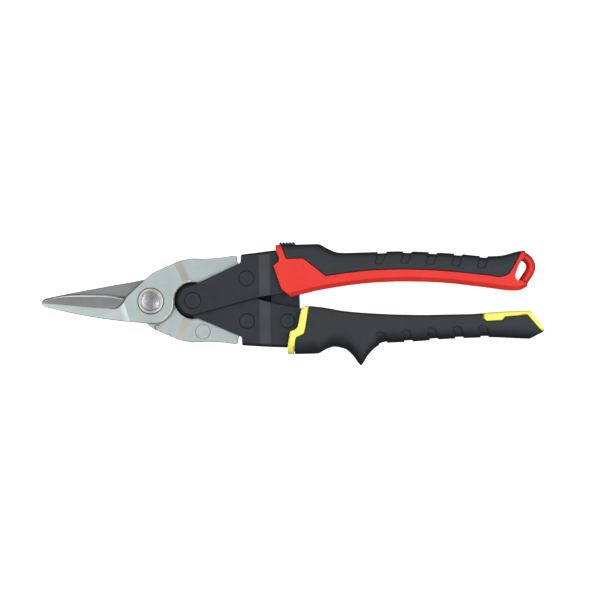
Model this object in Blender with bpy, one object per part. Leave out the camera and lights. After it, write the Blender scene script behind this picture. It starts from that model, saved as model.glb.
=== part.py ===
"""Compound-action aviation snips with long straight jaws and two-tone cushioned grips.

Every shape is drawn in tool space: millimetres, the blade bolt on the Z axis, +X towards the
ends of the grips, +Y towards the upper handle and +Z out of the front face, with the plane
between the two blades at Z = 0. finish() carries each piece to row space: metres, the middle
of the footprint at the origin and the lowest surface at Z = 0.
"""

import math

import bmesh
import bpy
import numpy as np
from mathutils import Matrix, Vector

# --- driving dimensions, mm ---
MILLIMETRE = 0.001
GAP = 0.3  # between any two pieces
FOOTPRINT_MIDDLE = (71.6, -2.75)
REST_LEVEL = 10.5  # half the thickness of the grips

# pivots in tool space
BOLT = (0.0, 0.0)
HANDLE_PIVOT = (21.3, 0.0)
UPPER_RIVET = (48.5, 10.8)
LOWER_RIVET = (48.5, -10.8)
CATCH_PIN = (69.1, -11.1)
STOP_PIN = (26.1, -15.8)
LATCH_PIVOT = (69.5, 12.0)
LATCH_SWING = math.radians(7.0)

# blades
BLADE_THICKNESS = 4.4
BLADE_LEVEL = 0.5 * GAP  # inner face of a jaw above the plane between the blades
BLADE_FACE = BLADE_LEVEL + BLADE_THICKNESS
BOSS_RADIUS = 11.6
NECK_RADIUS = 12.6
LIP_RADIUS = 8.4  # of the edge that reaches under the other handle's nose
NOSE_ROOM = 10.0
NECK_RISE = 1.1
JOGGLE_NORMAL = Vector((0.912, 0.409, 0.0)).normalized()
JOGGLE_START = 18.3
JOGGLE_END = 23.1
TAPER_NORMAL = Vector((0.959, 0.284, 0.0)).normalized()
TAPER_START = -13.1
RUN_OUT = 3.6
RUN_OUT_SLOPE = 0.09
JAW_LENGTH = 41.0
TIP_THINNING = 0.42
GRIND_DEPTH = 2.65
EDGE_LAND = 1.0
EDGE_THICKNESS = 0.3

# handle channels: half width of the inner face of the plates, ahead of their joggle
PLATE = 1.8
LOWER_PLATE_INNER = 2.5
UPPER_PLATE_INNER = 4.6
CHANNEL_JOGGLE = 1.2
CHANNEL_JOGGLE_START = 54.7
CHANNEL_JOGGLE_END = 60.5
WEB_START = 45.9
WEB_BEND_RADIUS = 2.2
CHANNEL_END = 150.0

# grips
COVER_THICKNESS = 1.1
CORE_INSET = COVER_THICKNESS + GAP
TOP_STRIP_HALF_WIDTH = 6.0
GROOVE_DEPTH = 0.6
GROOVE_WIDTH = 4.5
GROOVE_REACH = 6.2
GROOVE_COUNT = 5
GROOVE_START = 116.6
GROOVE_PITCH = 12.85

# fasteners
RIVET_SHANK = 2.6
RIVET_HEAD = 3.6
HANDLE_RIVET_HEAD = 3.95
CATCH_PIN_HEAD = 3.45
RIVET_HEAD_HEIGHT = 0.7
BOLT_SHANK = 3.6
BOLT_HEAD = 6.4
BOLT_HEAD_TOP = 6.3
COUNTERBORE_FLOOR = 3.55
OPEN_PIVOT_CLEARANCE = 0.55
NUT_ACROSS_FLATS = 11.0
CATCH_PIN_SHANK = 2.2
SPRING_WIRE = 0.5
SPRING_COIL = 4.0
SPRING_TURNS = 2.5
SPRING_HALF_HEIGHT = 1.5
NOSE_HALF_THICKNESS = 0.65
LATCH_NECK = 2.6
LATCH_HALF_THICKNESS = 1.25
LATCH_PIN = 2.0
SLOT_HALF_WIDTH = 1.9
PAD_HALF_WIDTH = 4.0
PAD_LENGTH = 8.3
PAD_TEETH = 5
STOP_PIN_RADIUS = 3.6
ROUND_STEPS = 22

# where each moving body's origin lies
BODY_ORIGINS = {
    "lower_handle": LOWER_RIVET,
    "upper_handle": HANDLE_PIVOT,
    "latch": LATCH_PIVOT,
    "lower_blade": LOWER_RIVET,
    "upper_blade": UPPER_RIVET,
}


# --- curves and outlines ---
def arc(centre, radius, start, end, steps):
    """Points on an arc, from one angle in degrees to another."""
    angles = [math.radians(start + (end - start) * k / steps) for k in range(steps + 1)]
    return [(centre[0] + radius * math.cos(a), centre[1] + radius * math.sin(a)) for a in angles]


def curve(points):
    """A smooth function y(x) through points in order of x, flat at each local extreme."""
    xs, ys = (np.array(column, float) for column in zip(*points))
    rises = np.diff(ys) / np.diff(xs)
    slopes = np.zeros(len(xs))
    slopes[0] = rises[0]
    slopes[-1] = rises[-1]
    for k in range(1, len(xs) - 1):
        if rises[k - 1] * rises[k] > 0:
            slopes[k] = 2 * rises[k - 1] * rises[k] / (rises[k - 1] + rises[k])

    def value(x):
        x = min(max(x, xs[0]), xs[-1])
        k = min(int(np.searchsorted(xs, x, side="right")) - 1, len(xs) - 2)
        span = xs[k + 1] - xs[k]
        t = (x - xs[k]) / span
        start = ys[k] * (1 + 2 * t) + slopes[k] * span * t
        end = ys[k + 1] * (3 - 2 * t) - slopes[k + 1] * span * (1 - t)
        return float(start * (1 - t) ** 2 + end * t**2)

    return value


def spline(points, steps):
    """A Catmull-Rom curve through points of any dimension."""
    knots = [np.array(p, float) for p in points]
    knots = [2 * knots[0] - knots[1], *knots, 2 * knots[-1] - knots[-2]]
    path = []
    for a, b, c, d in zip(knots, knots[1:], knots[2:], knots[3:]):
        for k in range(steps):
            t = k / steps
            path.append(0.5 * (2 * b + (c - a) * t + (2 * a - 5 * b + 4 * c - d) * t**2
                               + (3 * b - a - 3 * c + d) * t**3))
    path.append(knots[-2])
    return path


def grown(outline, distance):
    """A closed outline moved outwards by a distance, with mitred corners."""
    points = [Vector(p) for p in outline]
    area = sum(a.x * b.y - b.x * a.y for a, b in zip(points, points[1:] + points[:1]))
    side = math.copysign(1.0, area)
    moved = []
    for before, here, after in zip(points[-1:] + points[:-1], points, points[1:] + points[:1]):
        first = (here - before).normalized()
        second = (after - here).normalized()
        normal = Vector((first.y + second.y, -first.x - second.x)) * side
        stretch = max(1.0 + first.dot(second), 0.5)
        moved.append(tuple(here + normal * distance / stretch))
    return moved


def ramp(value):
    """A straight ramp from 0 to 1."""
    return min(max(value, 0.0), 1.0)


# --- solids ---
def from_bmesh(name, mesh_data):
    bmesh.ops.recalc_face_normals(mesh_data, faces=mesh_data.faces)
    mesh = bpy.data.meshes.new(name)
    mesh_data.to_mesh(mesh)
    mesh_data.free()
    piece = bpy.data.objects.new(name, mesh)
    bpy.context.scene.collection.objects.link(piece)
    return piece


def loft(name, rings):
    """Skins rings of equally many points and caps the two ends."""
    solid = bmesh.new()
    loops = [[solid.verts.new(point) for point in ring] for ring in rings]
    for near, far in zip(loops, loops[1:]):
        for k in range(len(near)):
            nxt = (k + 1) % len(near)
            solid.faces.new((near[k], near[nxt], far[nxt], far[k]))
    solid.faces.new(loops[0][::-1])
    solid.faces.new(loops[-1])
    return from_bmesh(name, solid)


def prism(name, outline, low, high):
    """An outline extruded along Z."""
    return loft(name, [[(x, y, z) for x, y in outline] for z in (low, high)])


def turned(name, centre, profile, steps=ROUND_STEPS):
    """A solid of revolution from (radius, z) points; a closed profile makes a ring."""
    hollow = min(radius for radius, _ in profile) > 0
    solid = bmesh.new()
    rings = []
    for radius, z in profile:
        if radius > 0:
            rings.append([solid.verts.new((x, y, z)) for x, y in arc(centre, radius, 0, 360, steps)[:-1]])
        else:
            rings.append([solid.verts.new((*centre, z))])
    pairs = list(zip(rings, rings[1:]))
    if hollow:
        pairs.append((rings[-1], rings[0]))
    for near, far in pairs:
        for k in range(steps):
            nxt = (k + 1) % steps
            corners = [near[k % len(near)], near[nxt % len(near)], far[nxt % len(far)], far[k % len(far)]]
            solid.faces.new(list(dict.fromkeys(corners)))
    return from_bmesh(name, solid)


def tube(name, centre, inner, outer, low, high, steps=ROUND_STEPS):
    return turned(name, centre, [(inner, low), (outer, low), (outer, high), (inner, high)], steps)


def swept(name, path, width, height, sides):
    """A rounded bar along a path of points that turns about Z only; width lies in the XY plane."""
    rings = []
    for k, point in enumerate(path):
        ahead = np.array(path[min(k + 1, len(path) - 1)]) - np.array(path[max(k - 1, 0)])
        along = Vector(ahead).normalized()
        across = along.cross(Vector((0, 0, 1))).normalized()
        upright = across.cross(along)
        ring = []
        for x, y in arc((0, 0), 1.0, 180 / sides, 360 + 180 / sides, sides)[:-1]:
            offset = across * x * 0.5 * width + upright * y * 0.5 * height
            ring.append(Vector(point) + offset)
        rings.append(ring)
    return loft(name, rings)


def combine(target, tool, operation):
    """Applies an exact Boolean with a second solid, which is used up."""
    cut = target.modifiers.new(operation.lower(), "BOOLEAN")
    cut.operation = operation
    cut.object = tool
    result = bpy.data.meshes.new_from_object(target.evaluated_get(bpy.context.evaluated_depsgraph_get()))
    target.modifiers.clear()
    target.data = result
    bpy.data.objects.remove(tool)
    return target


def cut_away(target, *tools):
    for tool in tools:
        combine(target, tool, "DIFFERENCE")
    return target


def joined(target, *tools):
    for tool in tools:
        combine(target, tool, "UNION")
    return target


def kept_inside(target, tool):
    return combine(target, tool, "INTERSECT")


def sliced(piece, normal, distances):
    """Adds edges where planes across the piece meet it, so that it can bend there."""
    solid = bmesh.new()
    solid.from_mesh(piece.data)
    for distance in distances:
        everything = solid.verts[:] + solid.edges[:] + solid.faces[:]
        bmesh.ops.bisect_plane(solid, geom=everything, plane_co=normal * distance, plane_no=normal)
    solid.to_mesh(piece.data)
    solid.free()
    return piece


def between(start, end, steps):
    return [start + (end - start) * k / steps for k in range(steps + 1)]


def material(name, colour, roughness, metallic):
    paint = bpy.data.materials.new(name)
    paint.use_nodes = True
    shader = paint.node_tree.nodes["Principled BSDF"]
    shader.inputs["Base Color"].default_value = (*colour, 1.0)
    shader.inputs["Roughness"].default_value = roughness
    shader.inputs["Metallic"].default_value = metallic
    return paint


def finish(piece, body, paint):
    """Scales a piece to metres, moves it to row space and puts its origin on its body's joint."""
    origin = Vector((*BODY_ORIGINS[body], 0.0))
    piece.data.transform(Matrix.Scale(MILLIMETRE, 4) @ Matrix.Translation(-origin))
    offset = Vector((-FOOTPRINT_MIDDLE[0], -FOOTPRINT_MIDDLE[1], REST_LEVEL))
    piece.location = (origin + offset) * MILLIMETRE
    piece.data.materials.clear()
    piece.data.materials.append(paint)
    piece.data.shade_smooth()
    piece.data.set_sharp_from_angle(angle=math.radians(35))


# --- blades, drawn as the upper-handle blade whose jaw lies in front ---
CUTTING_EDGE = [(-54.4, 1.2), (-49.6, 2.4), (-44.5, 3.4), (-40.8, 3.7), (-32.8, 3.8), (-25.7, 3.7),
                (-19.7, 3.2), (-12.6, 1.9)]


UPPER_SPINE = [(-53.9, -2.0), (-47.4, -3.7), (-32.7, -7.0), (-16.8, -9.6), (-1.7, -11.2)]
LOWER_SPINE = [(-53.9, -2.0), (-47.4, -3.3), (-40.0, -4.7), (-28.8, -6.6), (-18.7, -8.3), (-8.6, -9.9),
               (-1.7, -11.2)]


def blade_outline(spine):
    tip = [(-55.1, 0.5), (-54.9, -1.0)]
    boss = arc(BOLT, BOSS_RADIUS, -76, 8, 9)
    relief = arc(HANDLE_PIVOT, LIP_RADIUS, 147, 80, 7)
    inner_edge = [(27.5, 8.5), (36.0, 6.6), (41.6, 6.4)]
    lobe = arc(UPPER_RIVET, 7.2, -145, 112, 14)
    shoulder = [(43.9, 18.9), (43.8, 22.0), (43.0, 22.4)]
    back = [(34.7, 21.3), (27.6, 21.0), (20.1, 21.1), (15.4, 20.2), (10.6, 18.35), (6.0, 16.3),
            (1.4, 14.2), (-3.4, 10.4)]
    return tip + spine + boss + relief + inner_edge + lobe + shoulder + back + CUTTING_EDGE[::-1]


def neck_relief():
    """Clears the other blade's boss from the raised neck, which starts outside NECK_RADIUS."""
    swing = arc(BOLT, NECK_RADIUS, 18, 81, 10)
    return [(14.5, 3.0), *swing, (2.1, 30.0), (-60.0, 30.0), (-60.0, -20.0), (14.5, -20.0)]


def grind():
    """The hollow grind behind the cutting edge, as a cutter that opens towards +Z."""
    shoulder = curve([(-57, 0.1), (-53.9, -0.4), (-46.1, -1.1), (-36.0, -2.2), (-25.9, -3.2), (-10.0, -4.3)])
    edge = curve([(-57, 1.0), *CUTTING_EDGE, (-10.0, 1.4)])
    rings = []
    for x in between(-57.0, -10.0, 16):
        share = min(max((edge(x) - shoulder(x)) / 6.5, 0.3), 1.0)
        land = BLADE_FACE - GRIND_DEPTH * share
        rim = BLADE_FACE - (BLADE_THICKNESS - EDGE_THICKNESS) * share
        start = shoulder(x)
        end = edge(x) - EDGE_LAND * share
        hollow = [(start + (end - start) * t, BLADE_FACE + (land - BLADE_FACE) * t**0.85)
                  for t in (0, 0.35, 0.7, 1)]
        profile = [*hollow, (edge(x) + 0.4, rim), (edge(x) + 4.0, rim), (edge(x) + 4.0, 9.0), (start, 9.0)]
        rings.append([(x, y, z) for y, z in profile])
    heel = [(-25.9, -4.4), (-21.5, -3.9), (-18.6, -3.55), (-16.2, -2.7), (-14.4, -1.0), (-12.6, 1.6)]
    region = prism("heel", [*heel, (-12.0, 12.0), (-60.0, 12.0), (-60.0, -4.4)], -9.0, 12.0)
    return kept_inside(loft("grind", rings), region)


def thinning(distance):
    """How far the jaw's outer face lies below the boss, at a distance past the start of its taper."""
    along = min(distance, RUN_OUT)
    run_out = RUN_OUT_SLOPE * (along - 0.5 * along**2 / RUN_OUT)
    scoop = 0.5 * RUN_OUT_SLOPE * RUN_OUT
    return run_out + (TIP_THINNING * BLADE_THICKNESS - scoop) * distance / JAW_LENGTH


def bend_blade(piece):
    """Steps the tang down to the middle plane and thins the jaw towards its tip."""
    sliced(piece, JOGGLE_NORMAL, [JOGGLE_START, JOGGLE_END])
    sliced(piece, TAPER_NORMAL, between(TAPER_START - RUN_OUT, TAPER_START, 2))
    tang_scale = BLADE_THICKNESS / (BLADE_THICKNESS + NECK_RISE)
    for vertex in piece.data.vertices:
        along = vertex.co.dot(JOGGLE_NORMAL)
        step = ramp((along - JOGGLE_START) / (JOGGLE_END - JOGGLE_START))
        tang_level = 0.5 * BLADE_THICKNESS - (BLADE_FACE - vertex.co.z) * tang_scale
        vertex.co.z += (tang_level - vertex.co.z) * step
        past = TAPER_START - vertex.co.dot(TAPER_NORMAL)
        if past > 0 and vertex.co.z > BLADE_LEVEL:
            vertex.co.z -= (vertex.co.z - BLADE_LEVEL) / BLADE_THICKNESS * thinning(past)
    return piece


def blade(name, spine, bolt_radius):
    piece = prism(name, blade_outline(spine), BLADE_LEVEL - NECK_RISE, BLADE_FACE)
    cut_away(piece, prism("neck relief", neck_relief(), -9.0, BLADE_LEVEL), grind())
    bend_blade(piece)
    tang = 0.5 * BLADE_THICKNESS
    profile = [(0, tang), (NOSE_ROOM, tang), (NOSE_ROOM, 9), (0, 9)]
    cut_away(piece, turned("nose room", HANDLE_PIVOT, profile, 96))
    bolt_hole = turned("bolt hole", BOLT, [(0, -9), (bolt_radius, -9), (bolt_radius, 9), (0, 9)])
    rivet = RIVET_SHANK + GAP
    rivet_hole = turned("rivet hole", UPPER_RIVET, [(0, -9), (rivet, -9), (rivet, 9), (0, 9)])
    return cut_away(piece, bolt_hole, rivet_hole)


def make_upper_blade():
    piece = blade("upper_blade", UPPER_SPINE, BOLT_SHANK + OPEN_PIVOT_CLEARANCE)
    sink = BOLT_HEAD + OPEN_PIVOT_CLEARANCE
    profile = [(0, COUNTERBORE_FLOOR), (sink, COUNTERBORE_FLOOR), (sink, 9), (0, 9)]
    return cut_away(piece, turned("counterbore", BOLT, profile, 36))


def make_lower_blade():
    """The same forging turned over about the tool's long axis, with a slimmer jaw."""
    piece = blade("lower_blade", LOWER_SPINE, BOLT_SHANK + GAP)
    piece.data.transform(Matrix.Rotation(math.pi, 4, "X"))
    hole = STOP_PIN_RADIUS + GAP
    return cut_away(piece, turned("stop hole", STOP_PIN, [(0, -9), (hole, -9), (hole, 9), (0, 9)]))


def make_blade_stop_pin():
    profile = [(0, -4.1), (2.7, -4.1), (3.0, -3.8), (3.0, -2.2), (STOP_PIN_RADIUS, -2.2),
               (STOP_PIN_RADIUS, 2.2), (0, 2.2)]
    return turned("blade_stop_pin", STOP_PIN, profile)


# --- blade bolt, washer and lock nut ---
def make_pivot_bolt():
    seat = COUNTERBORE_FLOOR + GAP
    profile = [(0, -10.2), (BOLT_SHANK - 0.4, -10.2), (BOLT_SHANK, -9.8), (BOLT_SHANK, seat),
               (BOLT_HEAD, seat), (BOLT_HEAD, BOLT_HEAD_TOP - 1.1), (BOLT_HEAD - 0.4, BOLT_HEAD_TOP - 0.7),
               (5.1, BOLT_HEAD_TOP - 0.7), (4.9, BOLT_HEAD_TOP - 0.9), (4.6, BOLT_HEAD_TOP - 0.5),
               (3.2, BOLT_HEAD_TOP - 0.15), (1.6, BOLT_HEAD_TOP), (0, BOLT_HEAD_TOP)]
    return turned("pivot_bolt", BOLT, profile, 36)


def make_pivot_washer():
    return tube("pivot_washer", BOLT, BOLT_SHANK + GAP, 6.6, -5.85, -4.85)


def make_pivot_nut():
    hexagon = arc(BOLT, NUT_ACROSS_FLATS / math.sqrt(3), 0, 360, 6)[:-1]
    piece = prism("pivot_nut", hexagon, -REST_LEVEL, -6.15)
    chamfer = NUT_ACROSS_FLATS / math.sqrt(3)
    barrel = [(0, -REST_LEVEL - 1), (chamfer - 1.6, -REST_LEVEL - 1), (chamfer + 0.4, -REST_LEVEL + 1),
              (chamfer + 0.4, -6), (0, -6)]
    kept_inside(piece, turned("nut chamfer", BOLT, barrel))
    bore = [(0, -11.5), (5.1, -11.5), (5.1, -8.9), (BOLT_SHANK + GAP, -8.9), (BOLT_SHANK + GAP, -5), (0, -5)]
    return cut_away(piece, turned("nut bore", BOLT, bore))


def make_nut_insert():
    return tube("pivot_nut_insert", BOLT, BOLT_SHANK + GAP, 4.8, -10.1, -9.2)


# --- rivets, pins and washers of the handles ---
def rivet_profile(shank, head, outer, clearance=0.0):
    """A rivet with a flush head in each outer plate face; clearance gives the hole for it."""
    inner = outer - RIVET_HEAD_HEIGHT - clearance
    top = outer + (9.0 if clearance else 0.0)
    r = shank + clearance
    h = head + clearance
    return [(0, -top), (h, -top), (h, -inner), (r, -inner), (r, inner), (h, inner), (h, top), (0, top)]


def rivet(name, centre, head, outer, shank=RIVET_SHANK):
    return turned(name, centre, rivet_profile(shank, head, outer))


def rivet_hole(centre, head, outer, shank=RIVET_SHANK):
    return turned("rivet hole", centre, rivet_profile(shank, head, outer, GAP))


def plain_hole(centre, radius):
    return turned("hole", centre, [(0, -30), (radius, -30), (radius, 30), (0, 30)])


UPPER_OUTER = UPPER_PLATE_INNER + PLATE
LOWER_OUTER = LOWER_PLATE_INNER + PLATE


def make_handle_rivet():
    return rivet("handle_pivot_rivet", HANDLE_PIVOT, HANDLE_RIVET_HEAD, UPPER_OUTER)


def make_handle_bush():
    half = 0.5 * BLADE_THICKNESS
    return tube("handle_pivot_bush", HANDLE_PIVOT, RIVET_SHANK + 0.25, 3.25, -half, half)


def make_upper_rivet():
    return rivet("upper_blade_rivet", UPPER_RIVET, RIVET_HEAD, UPPER_OUTER)


def make_lower_rivet():
    return rivet("lower_blade_rivet", LOWER_RIVET, RIVET_HEAD, LOWER_OUTER)


def make_catch_pin():
    return rivet("latch_catch_pin", CATCH_PIN, CATCH_PIN_HEAD, LOWER_OUTER + CHANNEL_JOGGLE, CATCH_PIN_SHANK)


def tang_washer(name, side):
    low, high = sorted((side * LOWER_PLATE_INNER, side * LOWER_OUTER))
    return tube(name, UPPER_RIVET, RIVET_SHANK + GAP, 5.6, low, high)


def make_return_spring():
    """A torsion spring round the handle pivot; each leg runs back to its handle's web."""
    x, y = HANDLE_PIVOT
    coil = []
    steps = int(12 * SPRING_TURNS)
    for k in range(steps + 1):
        turn = math.radians(90) + 2 * math.pi * SPRING_TURNS * k / steps
        height = SPRING_HALF_HEIGHT * (1 - 2 * k / steps)
        coil.append((x + SPRING_COIL * math.cos(turn), y + SPRING_COIL * math.sin(turn), height))
    leg = [(61.4, 19.6), (59.4, 10.0), (57.6, 4.0), (55.0, 2.4), (34.0, 2.4), (27.5, 3.6)]
    start = [(px, py, SPRING_HALF_HEIGHT) for px, py in leg]
    end = [(px, -py, -SPRING_HALF_HEIGHT) for px, py in reversed(leg)]
    return swept("return_spring", start + coil + end, 2 * SPRING_WIRE, 2 * SPRING_WIRE, 6)


# --- handle channels, drawn for the upper handle ---
def channel_half_width(x, inner):
    step = ramp((x - CHANNEL_JOGGLE_START) / (CHANNEL_JOGGLE_END - CHANNEL_JOGGLE_START))
    return inner + CHANNEL_JOGGLE * step


UPPER_WEB_EDGE = [(53.5, 23.6), (63.1, 24.6), (82.0, 24.5), (93.0, 20.2), (122.0, 20.0), (CHANNEL_END, 18.9)]
LOWER_WEB_EDGE = [(54.8, -23.8), (68.4, -24.5), (81.0, -24.5), (91.0, -21.4), (122.0, -19.8),
                  (CHANNEL_END, -18.4)]
UPPER_MOUTH = [(CHANNEL_END, 10.0), (125.0, 11.0), (95.0, 8.9), (75.0, 4.6), (67.9, 2.8), (53.7, 1.0)]
LOWER_MOUTH = [(CHANNEL_END, -12.2), (126.0, -11.8), (98.6, -9.8), (84.0, -7.3), (75.3, -4.7),
               (60.2, -1.4), (53.6, 0.6)]


def upper_channel_outline():
    nose = arc(HANDLE_PIVOT, 7.4, 285, 112, 14)
    rise = [(25.4, 9.4), (35.1, 13.75), (44.6, 18.1), (WEB_START - 0.2, 18.7), (WEB_START, 22.8)]
    return nose + rise + UPPER_WEB_EDGE + UPPER_MOUTH


def lower_channel_outline():
    nose = arc(HANDLE_PIVOT, 9.3, 66, 284, 18)
    fall = [(32.2, -12.7), (44.2, -18.1), (WEB_START - 0.2, -18.9), (WEB_START, -23.1)]
    return nose + fall + LOWER_WEB_EDGE + LOWER_MOUTH


def round_web_edges(piece, web_outline, half_width):
    """Rounds the two long edges where the web bends into the plates."""
    corners = [Vector(p) for p in web_outline]
    solid = bmesh.new()
    solid.from_mesh(piece.data)

    def on_web(vertex):
        flat = Vector(vertex.co[:2])
        return abs(abs(vertex.co.z) - half_width) < 0.01 and any((flat - c).length < 0.01 for c in corners)

    edges = [e for e in solid.edges if all(on_web(v) for v in e.verts) and e.calc_length() > 2.5
             and abs(e.verts[0].co.z - e.verts[1].co.z) < 0.01]
    bmesh.ops.bevel(solid, geom=edges, offset=WEB_BEND_RADIUS, segments=4, profile=0.5, affect="EDGES")
    solid.to_mesh(piece.data)
    solid.free()
    return piece


def channel(name, outline, web, mouth, inner, side):
    """Two plates joined by a web; side is +1 where the web lies at the top."""
    outer = inner + PLATE
    piece = prism(name, outline, -outer, outer)
    round_web_edges(piece, [(WEB_START, side * (22.8 if side > 0 else 23.1)), *web], outer)
    under_web = [(x + 0.4, y - side * PLATE) for x, y in web]
    first = (WEB_START - 3.0, under_web[0][1] - side * 0.8)
    wall = [(CHANNEL_END + 5, under_web[-1][1]), (CHANNEL_END + 5, mouth[0][1] - side * 30),
            (5.0, -side * 40), (5.0, side * 40), (WEB_START - 3.0, side * 40)]
    cut_away(piece, prism("inside", [first, *under_web, *wall], -inner, inner))
    sliced(piece, Vector((1, 0, 0)), [CHANNEL_JOGGLE_START, CHANNEL_JOGGLE_END])
    for vertex in piece.data.vertices:
        widening = channel_half_width(vertex.co.x, 0.0)
        share = min(abs(vertex.co.z) / inner, 1.0)
        vertex.co.z += math.copysign(widening * share, vertex.co.z)
    return piece


def make_upper_channel():
    piece = channel("upper_handle_channel", upper_channel_outline(), UPPER_WEB_EDGE, UPPER_MOUTH,
                    UPPER_PLATE_INNER, 1)
    slot = prism("latch slot", [(65.4, 20), (76.4, 20), (76.4, 30), (65.4, 30)], -1.7, 1.7)
    return cut_away(piece, rivet_hole(HANDLE_PIVOT, HANDLE_RIVET_HEAD, UPPER_OUTER),
                    rivet_hole(UPPER_RIVET, RIVET_HEAD, UPPER_OUTER),
                    plain_hole(LATCH_PIVOT, LATCH_PIN + GAP), slot)


def make_lower_channel():
    piece = channel("lower_handle_channel", lower_channel_outline(), LOWER_WEB_EDGE, LOWER_MOUTH,
                    LOWER_PLATE_INNER, -1)
    return cut_away(piece, plain_hole(HANDLE_PIVOT, RIVET_SHANK + GAP),
                    rivet_hole(LOWER_RIVET, RIVET_HEAD, LOWER_OUTER),
                    rivet_hole(CATCH_PIN, CATCH_PIN_HEAD, LOWER_OUTER + CHANNEL_JOGGLE, CATCH_PIN_SHANK))


# --- latch ---
def latch_outline():
    """A flat lever whose hook opens towards the jaws, under the catch pin once it swings in."""
    x, y = LATCH_PIVOT
    pin = Vector(CATCH_PIN) - Vector(LATCH_PIVOT)
    turn = Matrix.Rotation(LATCH_SWING, 2)
    seat = tuple(Vector(LATCH_PIVOT) + turn @ pin)
    throat = CATCH_PIN_SHANK + GAP + 0.1
    neck = [(x - LATCH_NECK, 27.3), (x - LATCH_NECK, 20.0), (x - 5.2, 15.0)]
    front = [(x - 5.2, 7.0), (x - 8.5, 4.4), (x - 8.8, -2.4), (x - 5.1, -5.2), (x - 3.0, seat[1] + throat)]
    slot = arc(seat, throat, 90, -90, 8)
    toe = [(71.9, -15.4), (72.7, -16.6), (76.2, -16.6), (77.2, -15.2), (77.3, -9.5), (75.3, -5.0)]
    back = [(75.3, 9.0), (75.0, 15.0), (x + LATCH_NECK, 20.0), (x + LATCH_NECK, 27.3)]
    return neck + front + slot + toe + back


def latch_nose():
    """The lever's thin nose, which passes between the return spring's legs."""
    outline = [(64.0, 4.4), (60.5, 4.0), (56.5, 2.0), (53.4, 1.2), (53.4, 0.2), (57.0, -1.6), (64.0, -3.0)]
    return prism("latch nose", outline, -NOSE_HALF_THICKNESS, NOSE_HALF_THICKNESS)


def make_latch_lever():
    half = LATCH_HALF_THICKNESS
    piece = joined(prism("latch_lever", latch_outline(), -half, half), latch_nose())
    return cut_away(piece, plain_hole(LATCH_PIVOT, LATCH_PIN + GAP))


def make_latch_pad():
    """A serrated thumb pad that sits over the top end of the lever."""
    left = LATCH_PIVOT[0] - 4.3
    pitch = PAD_LENGTH / PAD_TEETH
    outline = [(left + PAD_LENGTH, 25.9), (left, 25.9)]
    for k in range(PAD_TEETH):
        outline += [(left + pitch * (k + 0.15), 28.7), (left + pitch * (k + 0.55), 28.7),
                    (left + pitch * (k + 0.95), 27.9)]
    piece = prism("latch_thumb_pad", outline, -PAD_HALF_WIDTH, PAD_HALF_WIDTH)
    neck = LATCH_NECK + GAP
    x = LATCH_PIVOT[0]
    socket = [(x - neck, 24), (x + neck, 24), (x + neck, 27.6), (x - neck, 27.6)]
    half = LATCH_HALF_THICKNESS + GAP
    return cut_away(piece, prism("socket", socket, -half, half))


def make_latch_pin():
    half = UPPER_OUTER + CHANNEL_JOGGLE - 0.1
    profile = [(0, -half), (LATCH_PIN, -half), (LATCH_PIN, half), (0, half)]
    return turned("latch_pivot_pin", LATCH_PIVOT, profile)


def latch_spacer(name, low, high):
    return tube(name, LATCH_PIVOT, LATCH_PIN + GAP, 4.2, low, high)


# --- grips ---
def corner(centre, radii, start, steps):
    return [(centre[0] + radii[0] * c, centre[1] + radii[1] * s)
            for c, s in arc((0, 0), 1.0, start, start + 90, steps)]


def grip_solid(name, shape, inset):
    """Lofts a grip along X, moved inwards by inset. shape holds its edges and corner sizes."""
    half = REST_LEVEL - inset
    rings = []
    for x in shape["stations"]:
        top = shape["top"](x) - inset
        bottom = shape["bottom"](x) + inset
        depth, rise = (max(size - inset, 0.4) for size in shape["top_corner"](x))
        low_depth, low_rise = (max(size - inset, 0.4) for size in shape["bottom_corner"](x))
        ring = corner((half - low_depth, bottom + low_rise), (low_depth, low_rise), -90,
                      shape["bottom_steps"])
        ring += corner((half - depth, top - rise), (depth, rise), 0, shape["top_steps"])
        mirrored = [(-z, y) for z, y in reversed(ring)]
        rings.append([(x, y, z) for z, y in ring + mirrored])
    return loft(name, rings)


def upper_grip_shape():
    top = curve([(58, 27.3), (74, 27.4), (84.9, 27.5), (89.5, 25.2), (94.5, 23.1), (98.5, 22.8),
                 (114.2, 23.0), (124.0, 23.2), (134.0, 22.9), (146.6, 22.1), (156.7, 21.3), (166.8, 20.2),
                 (172.9, 20.0), (177.9, 20.3), (182.0, 21.2), (187.6, 22.5), (194, 22.6)])
    bottom = curve([(58, -3.0), (70.7, 1.0), (77.5, 2.5), (86.6, 4.4), (104.9, 6.9), (114.0, 7.6),
                    (126.1, 7.9), (138.3, 7.6), (148.9, 6.9), (170.1, 4.2), (184.2, 2.4), (186.0, 2.5),
                    (190.0, 4.4), (194, 6.5)])
    return {
        "stations": between(60, 84, 5) + between(86, 98, 4) + between(105, 168, 9) + between(174, 192, 5),
        "top": top,
        "bottom": bottom,
        "top_corner": lambda x: (4.4, 5.6),
        "bottom_corner": lambda x: (2.2, 2.2),
        "top_steps": 3,
        "bottom_steps": 1,
    }


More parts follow.
